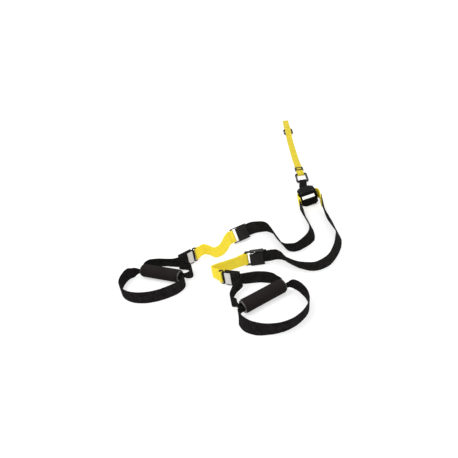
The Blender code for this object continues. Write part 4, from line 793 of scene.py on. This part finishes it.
class EdgeTree(ShapeTree):
    """The tree that welds a solid and shades its curved faces smooth."""

    WELD = 0.000002
    SHARP_ANGLE = math.radians(32.0)
    EDGE_ROUND = 0.00035
    ROUND_SEGMENTS = 2
    LEFT_KEEN = ("_spring", "_pin")

    def __init__(self) -> None:
        """Build the tree."""
        super().__init__("soft_shading")
        welded = {"Geometry": self.given["Geometry"], "Distance": self.WELD}
        smooth = {"Geometry": self.out("GeometryNodeMergeByDistance", welded), "Shade Smooth": True}
        angle = {"A": self.out("GeometryNodeInputMeshEdgeAngle"), "B": self.SHARP_ANGLE}
        settings = {"data_type": "FLOAT", "operation": "GREATER_THAN"}
        creased = {
            "Geometry": self.out("GeometryNodeSetShadeSmooth", smooth, domain="FACE"),
            "Selection": self.out("FunctionNodeCompare", angle, **settings),
            "Shade Smooth": False,
        }
        shaded = self.out("GeometryNodeSetShadeSmooth", creased, domain="EDGE")
        self.node("NodeGroupOutput", {"Geometry": shaded})

    def dress(self, node: str, kind: Finishes) -> None:
        """Give a CAD node its finish, smooth shading and softened edges.

        Args:
            node: The node's name.
            kind: Its finish.
        """
        thing = frame["nodes"][node]
        for slot in thing.material_slots:
            slot.material = finish(kind)
        thing.modifiers.new("soft_shading", "NODES").node_group = self.tree
        if not node.endswith(self.LEFT_KEEN):
            edge = thing.modifiers.new("soft_edges", "BEVEL")
            edge.width = self.EDGE_ROUND
            edge.segments = self.ROUND_SEGMENTS
            edge.limit_method = "ANGLE"
            edge.angle_limit = self.SHARP_ANGLE
            edge.harden_normals = True
        LOG.info("%s: kept, %s", node, kind.name.lower())


# Webbing


@dataclass(frozen=True)
class Station:
    """One section of a strap: its middle, the way its width runs, and its width."""

    middle: Vector
    across: Vector
    width: float


class StrapSections:
    """Reads the sections of a strap back from its solid in the frame.

    A strap's solid is a run of four-cornered sections.  The short sides of the sections
    are rungs, as long as the strap is thick, and they form a ladder up each narrow side.
    """

    WELD = 0.000001
    RUNG_SLACK = 0.00004
    CORNER_ANGLE = 1.15
    LEAST_STEP = 0.0006

    def __init__(self, node: str) -> None:
        """Copy the strap's mesh, welded.

        Args:
            node: Its CAD node.
        """
        self.mesh = bmesh.new()
        self.mesh.from_mesh(frame["nodes"][node].data)
        bmesh.ops.remove_doubles(self.mesh, verts=self.mesh.verts, dist=self.WELD)

    def is_corner(self, edge: Rung) -> bool:
        """Whether the solid turns a corner at the edge."""
        return edge.calc_face_angle(0.0) > self.CORNER_ANGLE

    def middle(self, rung: Rung) -> Vector:
        """The middle of a rung."""
        return (rung.verts[0].co + rung.verts[1].co) / 2.0

    def gap(self, one: Rung, other: Rung) -> float:
        """How far one rung's middle is from another's."""
        return (self.middle(one) - self.middle(other)).length

    def rungs(self) -> dict[bmesh.types.BMVert, Rung]:
        """Find the rungs, the best fit first.

        Returns:
            The rung at each corner of each section.
        """

        def miss(edge: Rung) -> float:
            """How far the edge's length is from the strap's thickness."""
            return abs(edge.calc_length() - STRAP_THICKNESS)

        near = [edge for edge in self.mesh.edges if miss(edge) < self.RUNG_SLACK]
        found: dict[bmesh.types.BMVert, Rung] = {}
        for edge in sorted(near, key=lambda one: (self.is_corner(one), miss(one))):
            if not any(vert in found for vert in edge.verts):
                found.update((vert, edge) for vert in edge.verts)
        return found

    def ladder(self) -> Ladder:
        """Follow the long corners of the strap.

        Returns:
            Each rung's neighbours along them.
        """
        rungs = self.rungs()
        beside: Ladder = {rung: [] for rung in rungs.values()}
        for edge in self.mesh.edges:
            first, second = (rungs.get(vert) for vert in edge.verts)
            if first and second and first != second and self.is_corner(edge):
                beside[first].append(second)
                beside[second].append(first)
        return beside

    def climb(self, start: Rung, beside: Ladder) -> list[Rung]:
        """Follow one narrow side from a rung.

        Args:
            start: The first rung.
            beside: Each rung's neighbours.

        Returns:
            The rungs in order.
        """
        found = [start]
        while True:
            here = found[-1]
            ways = [
                rung for rung in beside[here]
                if rung not in found and not (self.is_corner(here) and self.is_corner(rung))
            ]
            if not ways:
                return found
            found.append(min(ways, key=lambda rung: self.gap(rung, here)))

    def read(self) -> tuple[list[Station], bool]:
        """The strap's sections in order.

        Returns:
            The stations, and whether the strap is a closed loop.
        """
        beside = self.ladder()
        ends = [rung for rung in beside if self.is_corner(rung)]
        starts = ends or list(beside)
        one = self.climb(starts[0], beside)
        rest = [rung for rung in starts if rung not in one]
        other = self.climb(min(rest, key=lambda rung: self.gap(rung, starts[0])), beside)
        left, right = ([self.middle(rung) for rung in side] for side in (one, other))
        self.mesh.free()
        if len(left) != len(right):
            raise ValueError(f"sections of unlike counts: {len(left)} and {len(right)}")
        if not ends:
            orders = (right, right[::-1])
            turned = [run[shift:] + run[:shift] for run in orders for shift in range(len(run))]

            def spread(run: list[Vector]) -> float:
                """How far this run's points are from the left side's, as a sum of squares."""
                return sum((a - b).length_squared for a, b in zip(left, run))

            right = min(turned, key=spread)
        found: list[Station] = []
        for a, b in zip(left, right):
            middle = (a + b) / 2.0
            if not found or (middle - found[-1].middle).length >= self.LEAST_STEP:
                found.append(Station(middle, (a - b).normalized(), (a - b).length))
        return found, not ends


class StrapPath:
    """A strap's run, smooth from section to section, with places along it."""

    def __init__(self, stations: list[Station], closed: bool, step: float) -> None:
        """Refine the run.

        Args:
            stations: The sections that it passes through.
            closed: Whether the last is followed by the first.
            step: The longest stretch between two refined stations.
        """
        self.closed = closed
        self.stations = self.refined(stations, step)
        self.lengths = [0.0]
        for before, after in zip(self.stations, self.stations[1:]):
            self.lengths.append(self.lengths[-1] + (after.middle - before.middle).length)

    def beside(self, stations: list[Station], index: int) -> tuple[Station, Station]:
        """The stations before and after one, either of them itself at an open end.

        Args:
            stations: The run's stations.
            index: The one's place among them.

        Returns:
            The station before, and the station after.
        """
        count = len(stations)
        if self.closed:
            return stations[(index - 1) % count], stations[(index + 1) % count]
        return stations[max(index - 1, 0)], stations[min(index + 1, count - 1)]

    def refined(self, stations: list[Station], step: float) -> list[Station]:
        """Set stations closer together on a smooth curve through the given ones.

        Args:
            stations: The given stations.
            step: The longest stretch between two new ones.

        Returns:
            The new stations.
        """
        count = len(stations)

        def slope(index: int) -> Vector:
            """Find the run's direction at a station, weighted by its two spans.

            Args:
                index: The station's place.

            Returns:
                The direction.
            """
            here = stations[index % count]
            before, after = self.beside(stations, index)
            if before is here or after is here:
                return (after.middle - before.middle).normalized()
            way_in, way_out = here.middle - before.middle, after.middle - here.middle
            run_in, run_out = way_in.length, way_out.length
            return (way_in / run_in * run_out + way_out / run_out * run_in) / (run_in + run_out)

        found: list[Station] = []
        for index in range(count if self.closed else count - 1):
            first, second = stations[index], stations[(index + 1) % count]
            run = (second.middle - first.middle).length
            parts = max(1, math.ceil(run / step))
            leave, arrive = slope(index) * run, slope(index + 1) * run
            for part in range(parts):
                u = part / parts
                v = 1.0 - u
                middle = first.middle * (v * v * (1.0 + 2.0 * u)) + leave * (u * v * v)
                middle += second.middle * (u * u * (1.0 + 2.0 * v)) - arrive * (u * u * v)
                across = (first.across * v + second.across * u).normalized()
                found.append(Station(middle, across, first.width * v + second.width * u))
        if not self.closed:
            found.append(stations[-1])
        return found

    def face(self, index: int) -> Vector:
        """Find the way out of the strap's first face.

        Args:
            index: The station's place.

        Returns:
            The direction.
        """
        behind, ahead = self.beside(self.stations, index)
        travel = (ahead.middle - behind.middle).normalized()
        return travel.cross(self.stations[index].across).normalized()

    def nearest(self, point: Vector) -> float:
        """Metres along the strap to the station nearest to a point."""
        rows = zip(self.stations, self.lengths)
        return min(rows, key=lambda row: (row[0].middle - point).length)[1]

    def spot(self, along: float, across: float, rise: float) -> Vector:
        """A point over the strap.

        Args:
            along: Metres from its start.
            across: Metres from its middle line.
            rise: Metres out of its first face, from the strap's middle.

        Returns:
            The point.
        """
        last = len(self.stations) - 2
        index = min(max(bisect_right(self.lengths, along) - 1, 0), last)
        start, end = self.lengths[index:index + 2]
        share = min(max((along - start) / (end - start), 0.0), 1.0)
        here, after = self.stations[index:index + 2]
        middle = here.middle.lerp(after.middle, share)
        width_way = here.across.lerp(after.across, share).normalized()
        out = self.face(index).lerp(self.face(index + 1), share).normalized()
        return middle + width_way * across + out * rise


@dataclass(frozen=True)
class Seam:
    """A sewn box over a strap, in metres along it and from its middle line."""

    start: float
    end: float
    half_width: float

    def strokes(self) -> list[tuple[Span, Span]]:
        """Draw the box and its cross.

        Returns:
            Each line's two ends, as share along and metres across.
        """
        half = self.half_width
        corners = [(0.0, -half), (1.0, -half), (1.0, half), (0.0, half), (0.0, -half)]
        return [*zip(corners, corners[1:]), (corners[0], corners[2]), (corners[3], corners[1])]


@dataclass(frozen=True)
class Layers:
    """Straps that lie flat on each other and are sewn through."""

    paths: tuple[StrapPath, ...]
    reach: float = 0.0028
    height: float = 0.012
    sunk: float = 0.3

    def outermost(self, spot: Vector, out: Vector) -> tuple[StrapPath, float, float]:
        """The layer that lies furthest out over a point.

        Args:
            spot: The point, on a strap's middle.
            out: The direction to look in.

        Returns:
            The layer, the metres along it, and which of its faces is outside.
        """
        found: list[tuple[float, StrapPath, int]] = []
        for path in self.paths:
            for index, station in enumerate(path.stations):
                offset = station.middle - spot
                rise = offset.dot(out)
                if (offset - out * rise).length < self.reach and rise < self.height:
                    found.append((rise, path, index))
        _, path, index = max(found, key=lambda row: row[0])
        return path, path.lengths[index], math.copysign(1.0, path.face(index).dot(out))

    def lines(self, path: StrapPath, seams: Sequence[Seam]) -> list[list[Vector]]:
        """The seams' lines on both outer faces.

        Args:
            path: The strap that the seams' lengths follow.
            seams: The sewn boxes.

        Returns:
            Each line as points close together.
        """
        found = []
        for seam, side in ((seam, side) for seam in seams for side in (1.0, -1.0)):
            ends = []
            for along in (seam.start, seam.end):
                spot = path.spot(along, 0.0, 0.0)
                ends.append(self.outermost(spot, (path.spot(along, 0.0, side) - spot).normalized()))
            (layer, low, outside), (far_layer, high, _) = ends
            if far_layer is not layer or abs(high - low) > 2.0 * (seam.end - seam.start):
                continue
            rise = outside * (STRAP_THICKNESS / 2.0 + Stitch.radius * self.sunk)
            for (share_a, across_a), (share_b, across_b) in seam.strokes():
                run = math.hypot((share_b - share_a) * (high - low), across_b - across_a)
                count = max(2, math.ceil(run / Stitch.spacing))
                stroke = []
                for part in (step / count for step in range(count + 1)):
                    along = low + (high - low) * (share_a + (share_b - share_a) * part)
                    across = across_a + (across_b - across_a) * part
                    stroke.append(layer.spot(along, across, rise))
                found.append(stroke)
        return found


@dataclass(frozen=True)
class Strap:
    """One piece of webbing, lofted with rounded, slightly wavy edges, and its sewn boxes.

    Each box runs from one place to another, in metres from the strap's start or from where
    it passes a joint.  A place below 0 is before that, or before the strap's end.
    """

    node: str
    kind: Finishes
    step: float = 0.0035
    stem: str = ""
    thread: Finishes = Finishes.BLACK_THREAD
    boxes: Boxes = ()
    box_half: float = 0.0150
    boxes_from: str = ""
    waviness: float = 0.00022
    wave_length: float = 0.031
    slow_wave: float = 0.37
    slow_start: float = 1.3

    QUARTER = (
        (-1.0, 0.0), (-0.992, 0.52), (-0.965, 0.86), (-0.91, 1.0), (-0.45, 0.985), (0.0, 0.98),
    )
    TOP = QUARTER + tuple((-aside, rise) for aside, rise in QUARTER[-2::-1])
    PROFILE = TOP + tuple((aside, -rise) for aside, rise in TOP[-2:0:-1])

    def half_width(self, station: Station, along: float) -> float:
        """Half of the strap's width, less its wavy edge.

        Args:
            station: The station.
            along: Metres from the strap's start.

        Returns:
            The half width.
        """
        turn = TAU * along / self.wave_length
        sway = math.sin(turn) + math.sin(turn * self.slow_wave + self.slow_start)
        return station.width / 2.0 - self.waviness * (1.0 + sway * 0.5)

    def mesh(self, path: StrapPath) -> bpy.types.Mesh:
        """Loft the strap, no part of it under the floor.

        Args:
            path: Its run.

        Returns:
            The mesh, with its run map and edge shares.
        """
        built = bmesh.new()
        run_map = built.loops.layers.uv.new(RUN_MAP)
        shares = built.verts.layers.float.new(EDGE_SHARE)
        rings: list[list[bmesh.types.BMVert]] = []
        lengths = list(path.lengths)
        for index, here in enumerate(path.stations):
            face = path.face(index)
            half = self.half_width(here, lengths[index])
            rings.append([])
            for aside, rise in self.PROFILE:
                spot = here.middle + here.across * (half * aside)
                spot += face * (STRAP_THICKNESS / 2.0 * rise)
                spot.z = max(spot.z, 0.0)
                vert = built.verts.new(spot)
                vert[shares] = abs(aside)
                rings[-1].append(vert)
        if path.closed:
            rings.append(rings[0])
            closing = path.stations[0].middle - path.stations[-1].middle
            lengths.append(lengths[-1] + closing.length)
        size = len(self.PROFILE)
        for index, (before, after) in enumerate(zip(rings, rings[1:])):
            start, end = lengths[index:index + 2]
            half = path.stations[index].width / 2.0
            for corner in range(size):
                beside = (corner + 1) % size
                low, high = self.PROFILE[corner][0] * half, self.PROFILE[beside][0] * half
                corners = (before[corner], before[beside], after[beside], after[corner])
                mapped = ((start, low), (start, high), (end, high), (end, low))
                for loop, place in zip(built.faces.new(corners).loops, mapped):
                    loop[run_map].uv = place
        if not path.closed:
            built.faces.new(rings[0][::-1])
            built.faces.new(rings[-1])
        bmesh.ops.recalc_face_normals(built, faces=built.faces)
        return smooth_mesh(built)

    def seams(self, path: StrapPath) -> list[Seam]:
        """Place the strap's boxes.

        Args:
            path: Its run.

        Returns:
            The boxes, in metres from its start.
        """
        start = path.nearest(joint_place(self.boxes_from)) if self.boxes_from else 0.0
        ends = [[(start + place) % path.lengths[-1] for place in box] for box in self.boxes]
        return [Seam(low, high, self.box_half) for low, high in ends if low < high]

    def build(self, under: Sequence[StrapPath] = ()) -> StrapPath:
        """Add the strap in its solid's place, with its stitches.

        Args:
            under: The runs of the other straps that it is sewn to.

        Returns:
            Its own run.
        """
        path = StrapPath(*StrapSections(self.node).read(), self.step)
        add_piece(f"{self.node}_webbing", self.mesh(path), self.kind, self.node, True)
        if self.boxes:
            lines = Layers((path, *under)).lines(path, self.seams(path))
            shared(StitchTree).sew(self.stem or self.node, self.node, self.thread, lines)
        return path


# Sub-assemblies


@dataclass(frozen=True)
class Hardware:
    """The hard pieces that keep their solids, told by the ends of their names."""

    ENDINGS = {
        Finishes.YOKE_PLASTIC: ("_shell",),
        Finishes.WHITE_STRIP: ("_face_strip",),
        Finishes.DARK_STEEL: ("_screw",),
        Finishes.CAM_PLASTIC: ("_cam",),
        Finishes.HARD_PLASTIC: ("_saddle", "_keeper", "_grip_tube"),
        Finishes.CAP_PLASTIC_PAINTED_HIGHLIGHT: ("_cap_inner", "_cap_outer"),
        Finishes.COATED_METAL: ("_frame", "_ring", "_body", "_gate"),
        Finishes.STEEL: ("_pin", "_spring"),
    }

    def build(self) -> None:
        """Dress every hard node."""
        for node in sorted(frame["nodes"]):
            for kind, endings in self.ENDINGS.items():
                if node.rstrip("_1234").endswith(endings):
                    shared(EdgeTree).dress(node, kind)


@dataclass(frozen=True)
class CamCover:
    """The thumb ribs and the oval rim that stand on a cam's flat cover."""

    side: str
    rib_count: int = 5
    rib_pitch: float = 0.0030
    rib_radius: float = 0.0009
    rib_length: float = 0.031
    rib_inset: float = 0.0025
    rim_centre: float = 0.0105
    rim_along: float = 0.0068
    rim_across: float = 0.0140
    rim_tube: float = 0.0006
    rim_turns: int = 56
    tube_turns: int = 10
    square_on: float = 0.1

    def cover_frame(self, node: str) -> tuple[Matrix, float]:
        """The frame of the cover's outer face, X from its front edge to its rear edge.

        Args:
            node: The cam's CAD node.

        Returns:
            The frame, with Z along the cam's pin, and the cover's length.
        """
        pin = joint_axis(f"{self.side}_cam_press")
        centre = joint_place(f"{self.side}_cam_press")
        flats: dict[tuple[float, ...], Vector] = {}
        for face in frame["nodes"][node].data.polygons:
            if abs(face.normal.dot(pin)) < self.square_on:
                key = tuple(round(value, 1) for value in face.normal)
                flats[key] = flats.get(key, Vector()) + face.normal * face.area
        out = max(flats.values(), key=lambda flat: flat.length).normalized()
        points = points_of(node)
        rear = out.cross(pin).normalized()
        reaches = [(point - centre).dot(rear) for point in points]
        if max(reaches) < -min(reaches):
            rear = -rear
            reaches = [-reach for reach in reaches]
        rise = max((point - centre).dot(out) for point in points)
        start = centre + out * rise + rear * min(reaches)
        return frame_of(rear, out, rear.cross(out), start), max(reaches) - min(reaches)

    def rim(self, place: Matrix) -> bpy.types.Mesh:
        """The oval rim.

        Args:
            place: The cover's frame.

        Returns:
            The mesh.
        """
        rings = []
        for turn in range(self.rim_turns):
            angle = TAU * turn / self.rim_turns
            x, z = math.cos(angle), math.sin(angle)
            out = Vector((x / self.rim_along, 0.0, z / self.rim_across)).normalized()
            middle = Vector((self.rim_centre + self.rim_along * x, 0.0, self.rim_across * z))
            rings.append([])
            for part in range(self.tube_turns):
                around = TAU * part / self.tube_turns
                spot = middle + out * (self.rim_tube * math.cos(around))
                spot.y = self.rim_tube * math.sin(around)
                rings[-1].append(place @ spot)
        return ring_mesh(rings)

    def build(self) -> None:
        """Add the ribs and the rim."""
        node = f"{self.side}_cam"
        place, length = self.cover_frame(node)
        mesh = shared(RibTree).grown(
            bpy.data.meshes.new("ribs"), Count=self.rib_count, Pitch=-self.rib_pitch,
            Length=self.rib_length, Radius=self.rib_radius, Finish=finish(Finishes.CAM_PLASTIC),
        )
        mesh.transform(place @ Matrix.Translation((length - self.rib_inset, 0.0, 0.0)))
        add_piece(f"{node}_ribs", mesh, Finishes.CAM_PLASTIC, node)
        add_piece(f"{node}_rim", self.rim(place), Finishes.CAM_PLASTIC, node)


@dataclass(frozen=True)
class Grip:
    """A foam sleeve with soft, slightly swollen ends."""

    side: str
    swell: float = 0.0002
    end_round: float = 0.0032
    round_steps: int = 6
    bore_share: float = 0.79
    turns: int = 72
    rings: int = 44

    def profile(self, half: float, radius: float) -> list[Span]:
        """The sleeve's outline as (distance along the axis, radius), from end to end and back.

        Args:
            half: Half of its length.
            radius: Its outer radius.

        Returns:
            A closed outline.
        """
        soft = self.end_round
        angles = [math.pi / 2.0 * step / self.round_steps for step in range(self.round_steps + 1)]
        corner = [
            (half - soft * (1.0 - math.cos(angle)), radius - soft * (1.0 - math.sin(angle)))
            for angle in angles
        ]
        points = [(-along, away) for along, away in corner]
        for share in (index / self.rings for index in range(1, self.rings)):
            dip = self.swell * (1.0 - (2.0 * share - 1.0) ** 4)
            points.append((soft - half + 2.0 * (half - soft) * share, radius - dip))
        points += corner[::-1]
        bore = radius * self.bore_share
        inner = bore - self.swell
        return points + [(half, bore), (half - soft, inner), (soft - half, inner), (-half, bore)]

    def build(self) -> None:
        """Add the sleeve in the place of the foam's solid."""
        node = f"{self.side}_grip_foam"
        centre = joint_place(f"{self.side}_grip_spin")
        axis = joint_axis(f"{self.side}_grip_spin")
        offsets = [point - centre for point in points_of(node)]
        half = max(offset.dot(axis) for offset in offsets)
        radius = max((offset - axis * offset.dot(axis)).length for offset in offsets)
        level = UP.cross(axis).normalized()
        rise = axis.cross(level).normalized()
        outline = self.profile(half, radius)
        rows = []
        for angle in (TAU * turn / self.turns for turn in range(self.turns)):
            out = level * math.cos(angle) + rise * math.sin(angle)
            rows.append([centre + axis * along + out * away for along, away in outline])
        name = f"{self.side}_grip_sleeve"
        foam = add_piece(name, ring_mesh(rows), Finishes.GRIP_FOAM, node, True)


@dataclass(frozen=True)
class SewnBlock:
    """The folded and sewn webbing block at a handle's ring, with its bare label."""

    side: str
    layers: int = 4
    groove: float = 0.0005
    layer_round: float = 0.42
    label_round: float = 0.0003
    round_segments: int = 4
    round_profile: float = 0.6
    sunk: float = 0.35
    cross_rows: tuple[float, ...] = (-0.88, -0.80, 0.80, 0.88)
    long_rows: tuple[float, ...] = (-0.86, 0.86)
    label_stitch: Stitch = Stitch(0.0022, 0.0016, 0.0002)
    label_sunk: float = 0.3
    label_hem: Span = (0.86, 0.93)

    def box_frame(self, node: str) -> tuple[Matrix, Vector]:
        """A box-shaped node's own frame and half size.

        Args:
            node: The node's name.

        Returns:
            The frame, X along the strap, Y out of the face, Z up, and the half sizes.
        """
        ring = joint_place(f"{self.side}_ring_swing")
        along = (joint_place(f"{self.side}_handle_swing") - ring).normalized()
        ways = (along, UP.cross(along), UP)
        reaches = [[point.dot(way) for point in points_of(node)] for way in ways]
        ends = [(min(reach), max(reach)) for reach in reaches]
        middle = sum(((low + high) / 2.0 * way for (low, high), way in zip(ends, ways)), Vector())
        return frame_of(*ways, middle), Vector([(high - low) / 2.0 for low, high in ends])

    def slab(self, place: Matrix, low: Vector, high: Vector, rounding: float) -> bmesh.types.BMesh:
        """A soft-edged slab.

        Args:
            place: The frame that it stands in.
            low: Its lowest corner in that frame.
            high: Its highest corner.
            rounding: How far its edges are rounded.

        Returns:
            The slab.
        """
        built = bmesh.new()
        bmesh.ops.create_cube(built, size=1.0)
        bmesh.ops.scale(built, vec=high - low, verts=built.verts)
        bmesh.ops.translate(built, vec=(high + low) / 2.0, verts=built.verts)
        bmesh.ops.bevel(
            built, geom=built.edges, offset=rounding, segments=self.round_segments,
            profile=self.round_profile, affect="EDGES",
        )
        bmesh.ops.transform(built, matrix=place, verts=built.verts)
        return built

    def layered(self, place: Matrix, half: Vector) -> bpy.types.Mesh:
        """The block's layers of webbing.

        Args:
            place: The block's frame.
            half: Its half sizes.

        Returns:
            The mesh, with its run map and edge shares.
        """
        whole = bmesh.new()
        pitch = 2.0 * half.y / self.layers
        for layer in range(self.layers):
            low = Vector((-half.x, -half.y + pitch * layer + self.groove / 4.0, -half.z))
            high = Vector((half.x, -half.y + pitch * (layer + 1) - self.groove / 4.0, half.z))
            inner = 0 < layer < self.layers - 1
            shrink = Vector((self.groove, 0.0, self.groove)) if inner else Vector()
            part = self.slab(place, low + shrink, high - shrink, pitch * self.layer_round)
            whole.from_mesh(plain_mesh(part))
        run_map = whole.loops.layers.uv.new(RUN_MAP)
        shares = whole.verts.layers.float.new(EDGE_SHARE)
        home = place.inverted()
        for vert in whole.verts:
            local = home @ vert.co
            vert[shares] = abs(local.z) / half.z
            for loop in vert.link_loops:
                loop[run_map].uv = (local.x, local.z)
        return smooth_mesh(whole)

    def build(self) -> None:
        """Add the block, its stitches and its label."""
        node = f"{self.side}_sewn_block"
        place, half = self.box_frame(node)
        mesh = self.layered(place, half)
        add_piece(f"{self.side}_block_webbing", mesh, Finishes.BLACK_WEBBING, node, True)
        tall, wide = self.long_rows[-1], self.cross_rows[-1]
        shares = [((share, -tall), (share, tall)) for share in self.cross_rows]
        shares += [((-wide, share), (wide, share)) for share in self.long_rows]
        lines = []
        for sign in (-1.0, 1.0):
            rise = sign * (half.y + Stitch.radius * self.sunk)
            for ends in shares:
                lines.append([place @ Vector((half.x * x, rise, half.z * z)) for x, z in ends])
        shared(StitchTree).sew(f"{self.side}_block", node, Finishes.BLACK_THREAD, lines)
        self.build_label(place)

    def build_label(self, block: Matrix) -> None:
        """Add the bare label with its hem.

        Args:
            block: The sewn block's frame.
        """
        node = f"{self.side}_label"
        place, half = self.box_frame(node)
        patch = smooth_mesh(self.slab(place, -half, half, self.label_round))
        add_piece(f"{self.side}_label_patch", patch, Finishes.LABEL_CLOTH, node, True)
        outward = 1.0 if (block.inverted() @ place.translation).y > 0.0 else -1.0
        rise = outward * (half.y + self.label_stitch.radius * self.label_sunk)
        x, z = half.x * self.label_hem[0], half.z * self.label_hem[1]
        signs = ((-1, -1), (1, -1), (1, 1), (-1, 1), (-1, -1))
        corners = [place @ Vector((a * x, rise, b * z)) for a, b in signs]
        lines = list(zip(corners, corners[1:]))
        shared(StitchTree).sew(node, node, Finishes.BLACK_THREAD, lines, self.label_stitch)


@dataclass(frozen=True)
class Leg:
    """One side's leg, adjuster, handle strap, cradle and grip."""

    side: str
    fine_step: float = 0.003
    leg_boxes: Boxes = ((-0.0175, -0.0035),)
    adjuster_boxes: Boxes = ((0.0035, 0.0165), (-0.0105, -0.0025))

    def build(self) -> StrapPath:
        """Add the soft pieces of this side.

        Returns:
            The leg strap's run.
        """
        side, step = self.side, self.fine_step
        leg = Strap(
            f"{side}_leg_strap", Finishes.BLACK_WEBBING, stem=f"{side}_leg", boxes=self.leg_boxes,
        )
        adjuster = Strap(
            f"{side}_adjuster_strap", Finishes.YELLOW_WEBBING, step, f"{side}_adjuster",
            Finishes.YELLOW_THREAD, self.adjuster_boxes,
        )
        path = leg.build()
        adjuster.build()
        Strap(f"{side}_handle_strap", Finishes.BLACK_WEBBING, step).build()
        Strap(f"{side}_foot_cradle", Finishes.CRADLE_WEBBING).build()
        Grip(side).build()
        SewnBlock(side).build()
        return path


@dataclass(frozen=True)
class AnchorEnd:
    """The anchor strap, the neck loop and the centre strap."""

    fine_step: float = 0.003
    anchor_boxes: Boxes = ((0.003, 0.018), (-0.018, -0.003))
    anchor_half: float = 0.0105
    neck_boxes: Boxes = ((0.013, 0.026), (-0.026, -0.013))
    neck_half: float = 0.0100
    centre_boxes: Boxes = ((0.0025, 0.012), (-0.012, -0.0025))

    def build(self, legs: Sequence[StrapPath]) -> None:
        """Add the straps, the neck loop sewn just below the main carabiner's bar.

        Args:
            legs: The runs of the leg straps, which the centre strap is sewn to.
        """
        Strap(
            "anchor_strap", Finishes.ANCHOR_WEBBING, thread=Finishes.YELLOW_THREAD,
            boxes=self.anchor_boxes, box_half=self.anchor_half,
        ).build()
        Strap(
            "neck_loop", Finishes.NECK_WEBBING_PAINTED_SHADE, self.fine_step,
            boxes=self.neck_boxes, box_half=self.neck_half, boxes_from="main_carabiner_lift",
        ).build()
        Strap(
            "centre_strap", Finishes.YELLOW_WEBBING, self.fine_step, boxes=self.centre_boxes,
        ).build(legs)


@dataclass(frozen=True)
class Studio:
    """The camera, the floor and the soft light."""

    camera_from_carabiner: Triple = (-0.293341, -1.472162, 0.7535)
    lens: float = 35.76
    sensor: float = 36.0
    pitch: float = math.radians(31.4)
    roll: float = math.radians(10.0)
    clip_end: float = 50.0
    floor_size: float = 120.0
    floor_colour: Colour = (0.50, 0.50, 0.50)
    floor_glow: float = 0.54
    world_strength: float = 1.0

    LAMPS = {
        "key": ((-1.2, -0.6, 2.4), 1.2, 26.0),
        "fill": ((1.6, -1.2, 2.0), 1.6, 10.0),
        "rim": ((0.3, 2.4, 1.6), 1.2, 8.0),
    }

    def camera(self) -> None:
        """Place the camera where the photograph was taken from."""
        ahead = Vector((0.0, math.cos(self.pitch), -math.sin(self.pitch)))
        above = Vector((0.0, math.sin(self.pitch), math.cos(self.pitch)))
        right = Vector((math.cos(self.roll), 0.0, 0.0)) - above * math.sin(self.roll)
        up = Vector((math.sin(self.roll), 0.0, 0.0)) + above * math.cos(self.roll)
        lens = bpy.data.cameras.new("camera")
        lens.lens = self.lens
        lens.sensor_width = self.sensor
        lens.clip_end = self.clip_end
        eye = add_object("camera", lens)
        place = joint_place("main_carabiner_lift") + Vector(self.camera_from_carabiner)
        eye.matrix_world = frame_of(right, up, -ahead, place)
        bpy.context.scene.camera = eye

    def floor(self) -> None:
        """Lay the pale floor."""
        built = bmesh.new()
        bmesh.ops.create_grid(built, x_segments=1, y_segments=1, size=self.floor_size / 2.0)
        floor = add_object("floor", plain_mesh(built))
        graph = Graph("floor")
        graph.feed(
            Base_Color=self.floor_colour,
            Roughness=1.0,
            Specular_IOR_Level=0.0,
            Emission_Color=(1.0, 1.0, 1.0),
            Emission_Strength=self.floor_glow,
        )
        floor.data.materials.append(graph.material)

    def lamps(self) -> None:
        """Hang the soft square lamps, each with its place, side and watts."""
        for name, (spot, size, power) in self.LAMPS.items():
            light = bpy.data.lights.new(name, "AREA")
            light.size = size
            light.energy = power
            place = Vector(spot)
            turn = (-place).to_track_quat("-Z", "Y").to_matrix().to_4x4()
            add_object(name, light).matrix_world = Matrix.Translation(place) @ turn

    def build(self) -> None:
        """Set up the whole studio."""
        self.camera()
        self.floor()
        world = bpy.data.worlds.new("studio")
        bpy.context.scene.world = world
        world.use_nodes = True
        backdrop = world.node_tree.nodes["Background"]
        backdrop.inputs["Color"].default_value = (1.0, 1.0, 1.0, 1.0)
        backdrop.inputs["Strength"].default_value = self.world_strength
        self.lamps()
        bpy.context.scene.view_settings.view_transform = "Standard"


def main() -> None:
    """Dress the trainer and set the studio up."""
    logging.basicConfig(level=logging.INFO, format="%(name)s: %(message)s")
    Studio().build()
    Hardware().build()
    for side in SIDES:
        CamCover(side).build()
    AnchorEnd().build([Leg(side).build() for side in SIDES])


if __name__ == "__main__":
    main()
